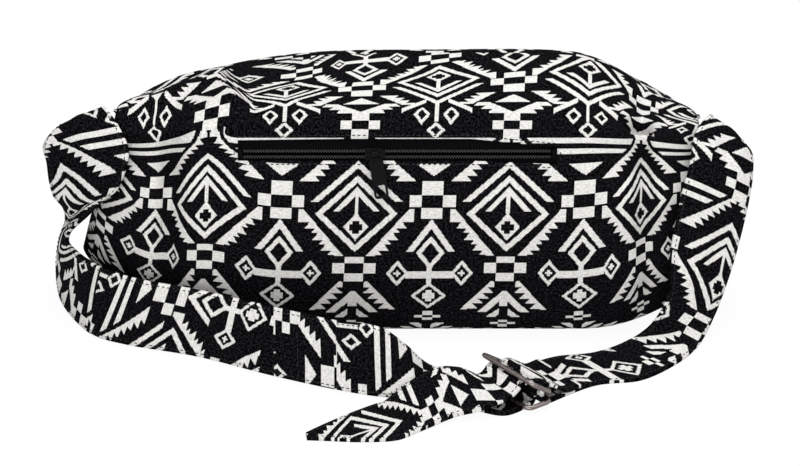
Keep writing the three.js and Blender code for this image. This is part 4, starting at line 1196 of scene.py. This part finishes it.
def zip_coil(name, node, side):
    """Flattened helix: an ellipse over the band times a steady step along the zip."""
    turns = int(CHAIN_LENGTH / COIL_PITCH)
    angle = np.linspace(0, 2 * np.pi * turns, turns * COIL_POINTS + 1)
    x = ZIP_CENTRE + (angle / angle[-1] - 0.5) * CHAIN_LENGTH
    path = at_zip(x, side * (COIL_CENTRE + COIL_HALF * np.cos(angle)), COIL_DEEP + COIL_THICK * np.sin(angle))
    points = tube(path, COIL_WIRE, COIL_SIDES, np.array([1.0, 0, 0]))
    quads = grid_quads(*points.shape[:2], close_columns=True)
    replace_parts(make_piece(name, points, quads, nylon, "bag"), node)


zip_coil("coil_upper", "zip_coil_upper", 1)
zip_coil("coil_lower", "zip_coil_lower", -1)

# %% Slider, pull, tapes and end tacks
EDGE_ROUND, ROUND_STEPS = 0.22, 2
EDGE_SHARP = math.radians(35)


def rounded_copy(name, node, body, finish):
    """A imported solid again, with a small bevel on every edge sharper than 35 degrees."""
    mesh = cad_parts[node].data.copy()
    mesh.materials.clear()
    mesh.materials.append(finish)
    piece = add_object(name, mesh)
    bevel = piece.modifiers.new("edges", "BEVEL")
    bevel.width = EDGE_ROUND * MM
    bevel.segments = ROUND_STEPS
    bevel.limit_method = "ANGLE"
    bevel.angle_limit = EDGE_SHARP
    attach(piece, body)
    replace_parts(piece, node)
    print(name, len(mesh.vertices), "points")


rounded_copy("slider", "zip_slider", "slider", enamel)
rounded_copy("pull", "zip_pull", "pull", enamel)
for node in ("zip_tape_upper", "zip_tape_lower", "zip_stop_left", "zip_stop_right"):
    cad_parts[node].data.materials.clear()
    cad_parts[node].data.materials.append(black_tape)
print("zip finished")

# %% [markdown]
# ## Stitches
#
# A lockstitch shows as a row of short dashes. Each dash is a small arch of thread whose two ends dive into
# the cloth. A bump would vanish at the edges, where stitches are seen from the side. Rows run along both
# edges of each strap and round the zip's window.

# %% Arches of thread
STITCH_LENGTH, STITCH_PITCH, THREAD_RADIUS = 2.3, 3.4, 0.32
ARCH_HIGH, ARCH_SUNK = 0.55, 0.4
ARCH_POINTS, THREAD_SIDES = 7, 6


def resampled(line, step):
    """Points at equal steps along a line, as fractions of its rows."""
    along = lengths_along(line, 0)
    wanted = np.arange(step, along[-1] - step, step)
    return np.interp(wanted, along, np.arange(len(along)))


def stitches(line, outward):
    """Arches of thread along a line: a half sine out of the cloth, swept with a circle."""
    rows = resampled(line, STITCH_PITCH)
    numbers = np.arange(len(line))
    centre, out, ahead = (np.stack([np.interp(rows, numbers, c) for c in values.T], axis=-1)
                          for values in (line, outward, np.gradient(line, axis=0)))
    ahead = unit(ahead)
    side = np.cross(ahead, out)
    t = np.linspace(-0.5, 0.5, ARCH_POINTS)[None, :, None, None]
    ring = circle(THREAD_RADIUS, THREAD_SIDES)[None, None]
    arch = np.cos(np.pi * t) * ARCH_HIGH - ARCH_SUNK + ring[..., 1:]
    ahead, out, side = (values[:, None, None] for values in (ahead, out, side))
    return centre[:, None, None] + ahead * t * STITCH_LENGTH + out * arch + side * ring[..., :1]


def sew(name, lines):
    """One piece from many rows of stitches, without those that would reach under the table."""
    arches = np.concatenate([stitches(line, outward) for line, outward in lines])
    arches = arches[arches[..., 2].min(axis=(1, 2)) > 0]
    one = grid_quads(ARCH_POINTS, THREAD_SIDES, close_columns=True)
    first = np.arange(len(arches))[:, None, None] * ARCH_POINTS * THREAD_SIDES
    make_piece(name, arches, (one[None] + first).reshape(-1, 4), thread, "bag")
    print(name, len(arches), "stitches")


print("one stitch every", STITCH_PITCH, "mm")

# %% Rows along the straps
HEM = 2.2


def hem_lines(points):
    """Lines a hem's width inside both edges of a strap, on both faces."""
    normal = grid_normals(points)
    across = lengths_along(points, 1)
    lines = []
    for inset in (HEM / across[:, -1], 1 - HEM / across[:, -1]):
        at = inset * ACROSS
        low = np.clip(np.floor(at).astype(int), 0, ACROSS - 1)
        rest = (at - low)[:, None]
        rows = np.arange(len(points))
        edge = points[rows, low] * (1 - rest) + points[rows, low + 1] * rest
        out = normal[rows, low]
        lines += [(edge + face * out * STRAP_THICK / 2, face * out) for face in (-1, 1)]
    return lines


sew("left_stitches", hem_lines(left_points))
sew("right_stitches", hem_lines(right_points))

# %% Rows round the window
ROW_POINTS = 120
window_x = np.linspace(WINDOW_LEFT - HEM, WINDOW_RIGHT + HEM, ROW_POINTS)
upright = np.linspace(-WINDOW_WIDTH / 2, WINDOW_WIDTH / 2, ROW_POINTS)
band_out = np.broadcast_to(np.array([0, -BAND_UP[1], BAND_UP[0]]), (ROW_POINTS, 3))
window_lines = []
for side in (-1, 1):
    edge = side * WINDOW_WIDTH / 2
    along_edge = edge + side * HEM + lip_shift(window_x, edge)
    window_lines.append((at_zip(window_x, along_edge, 0 * window_x), band_out))
    end_x = np.full(ROW_POINTS, ZIP_CENTRE + side * (WINDOW_LENGTH / 2 + HEM))
    window_lines.append((at_zip(end_x, upright, 0 * upright), band_out))
sew("window_stitches", window_lines)
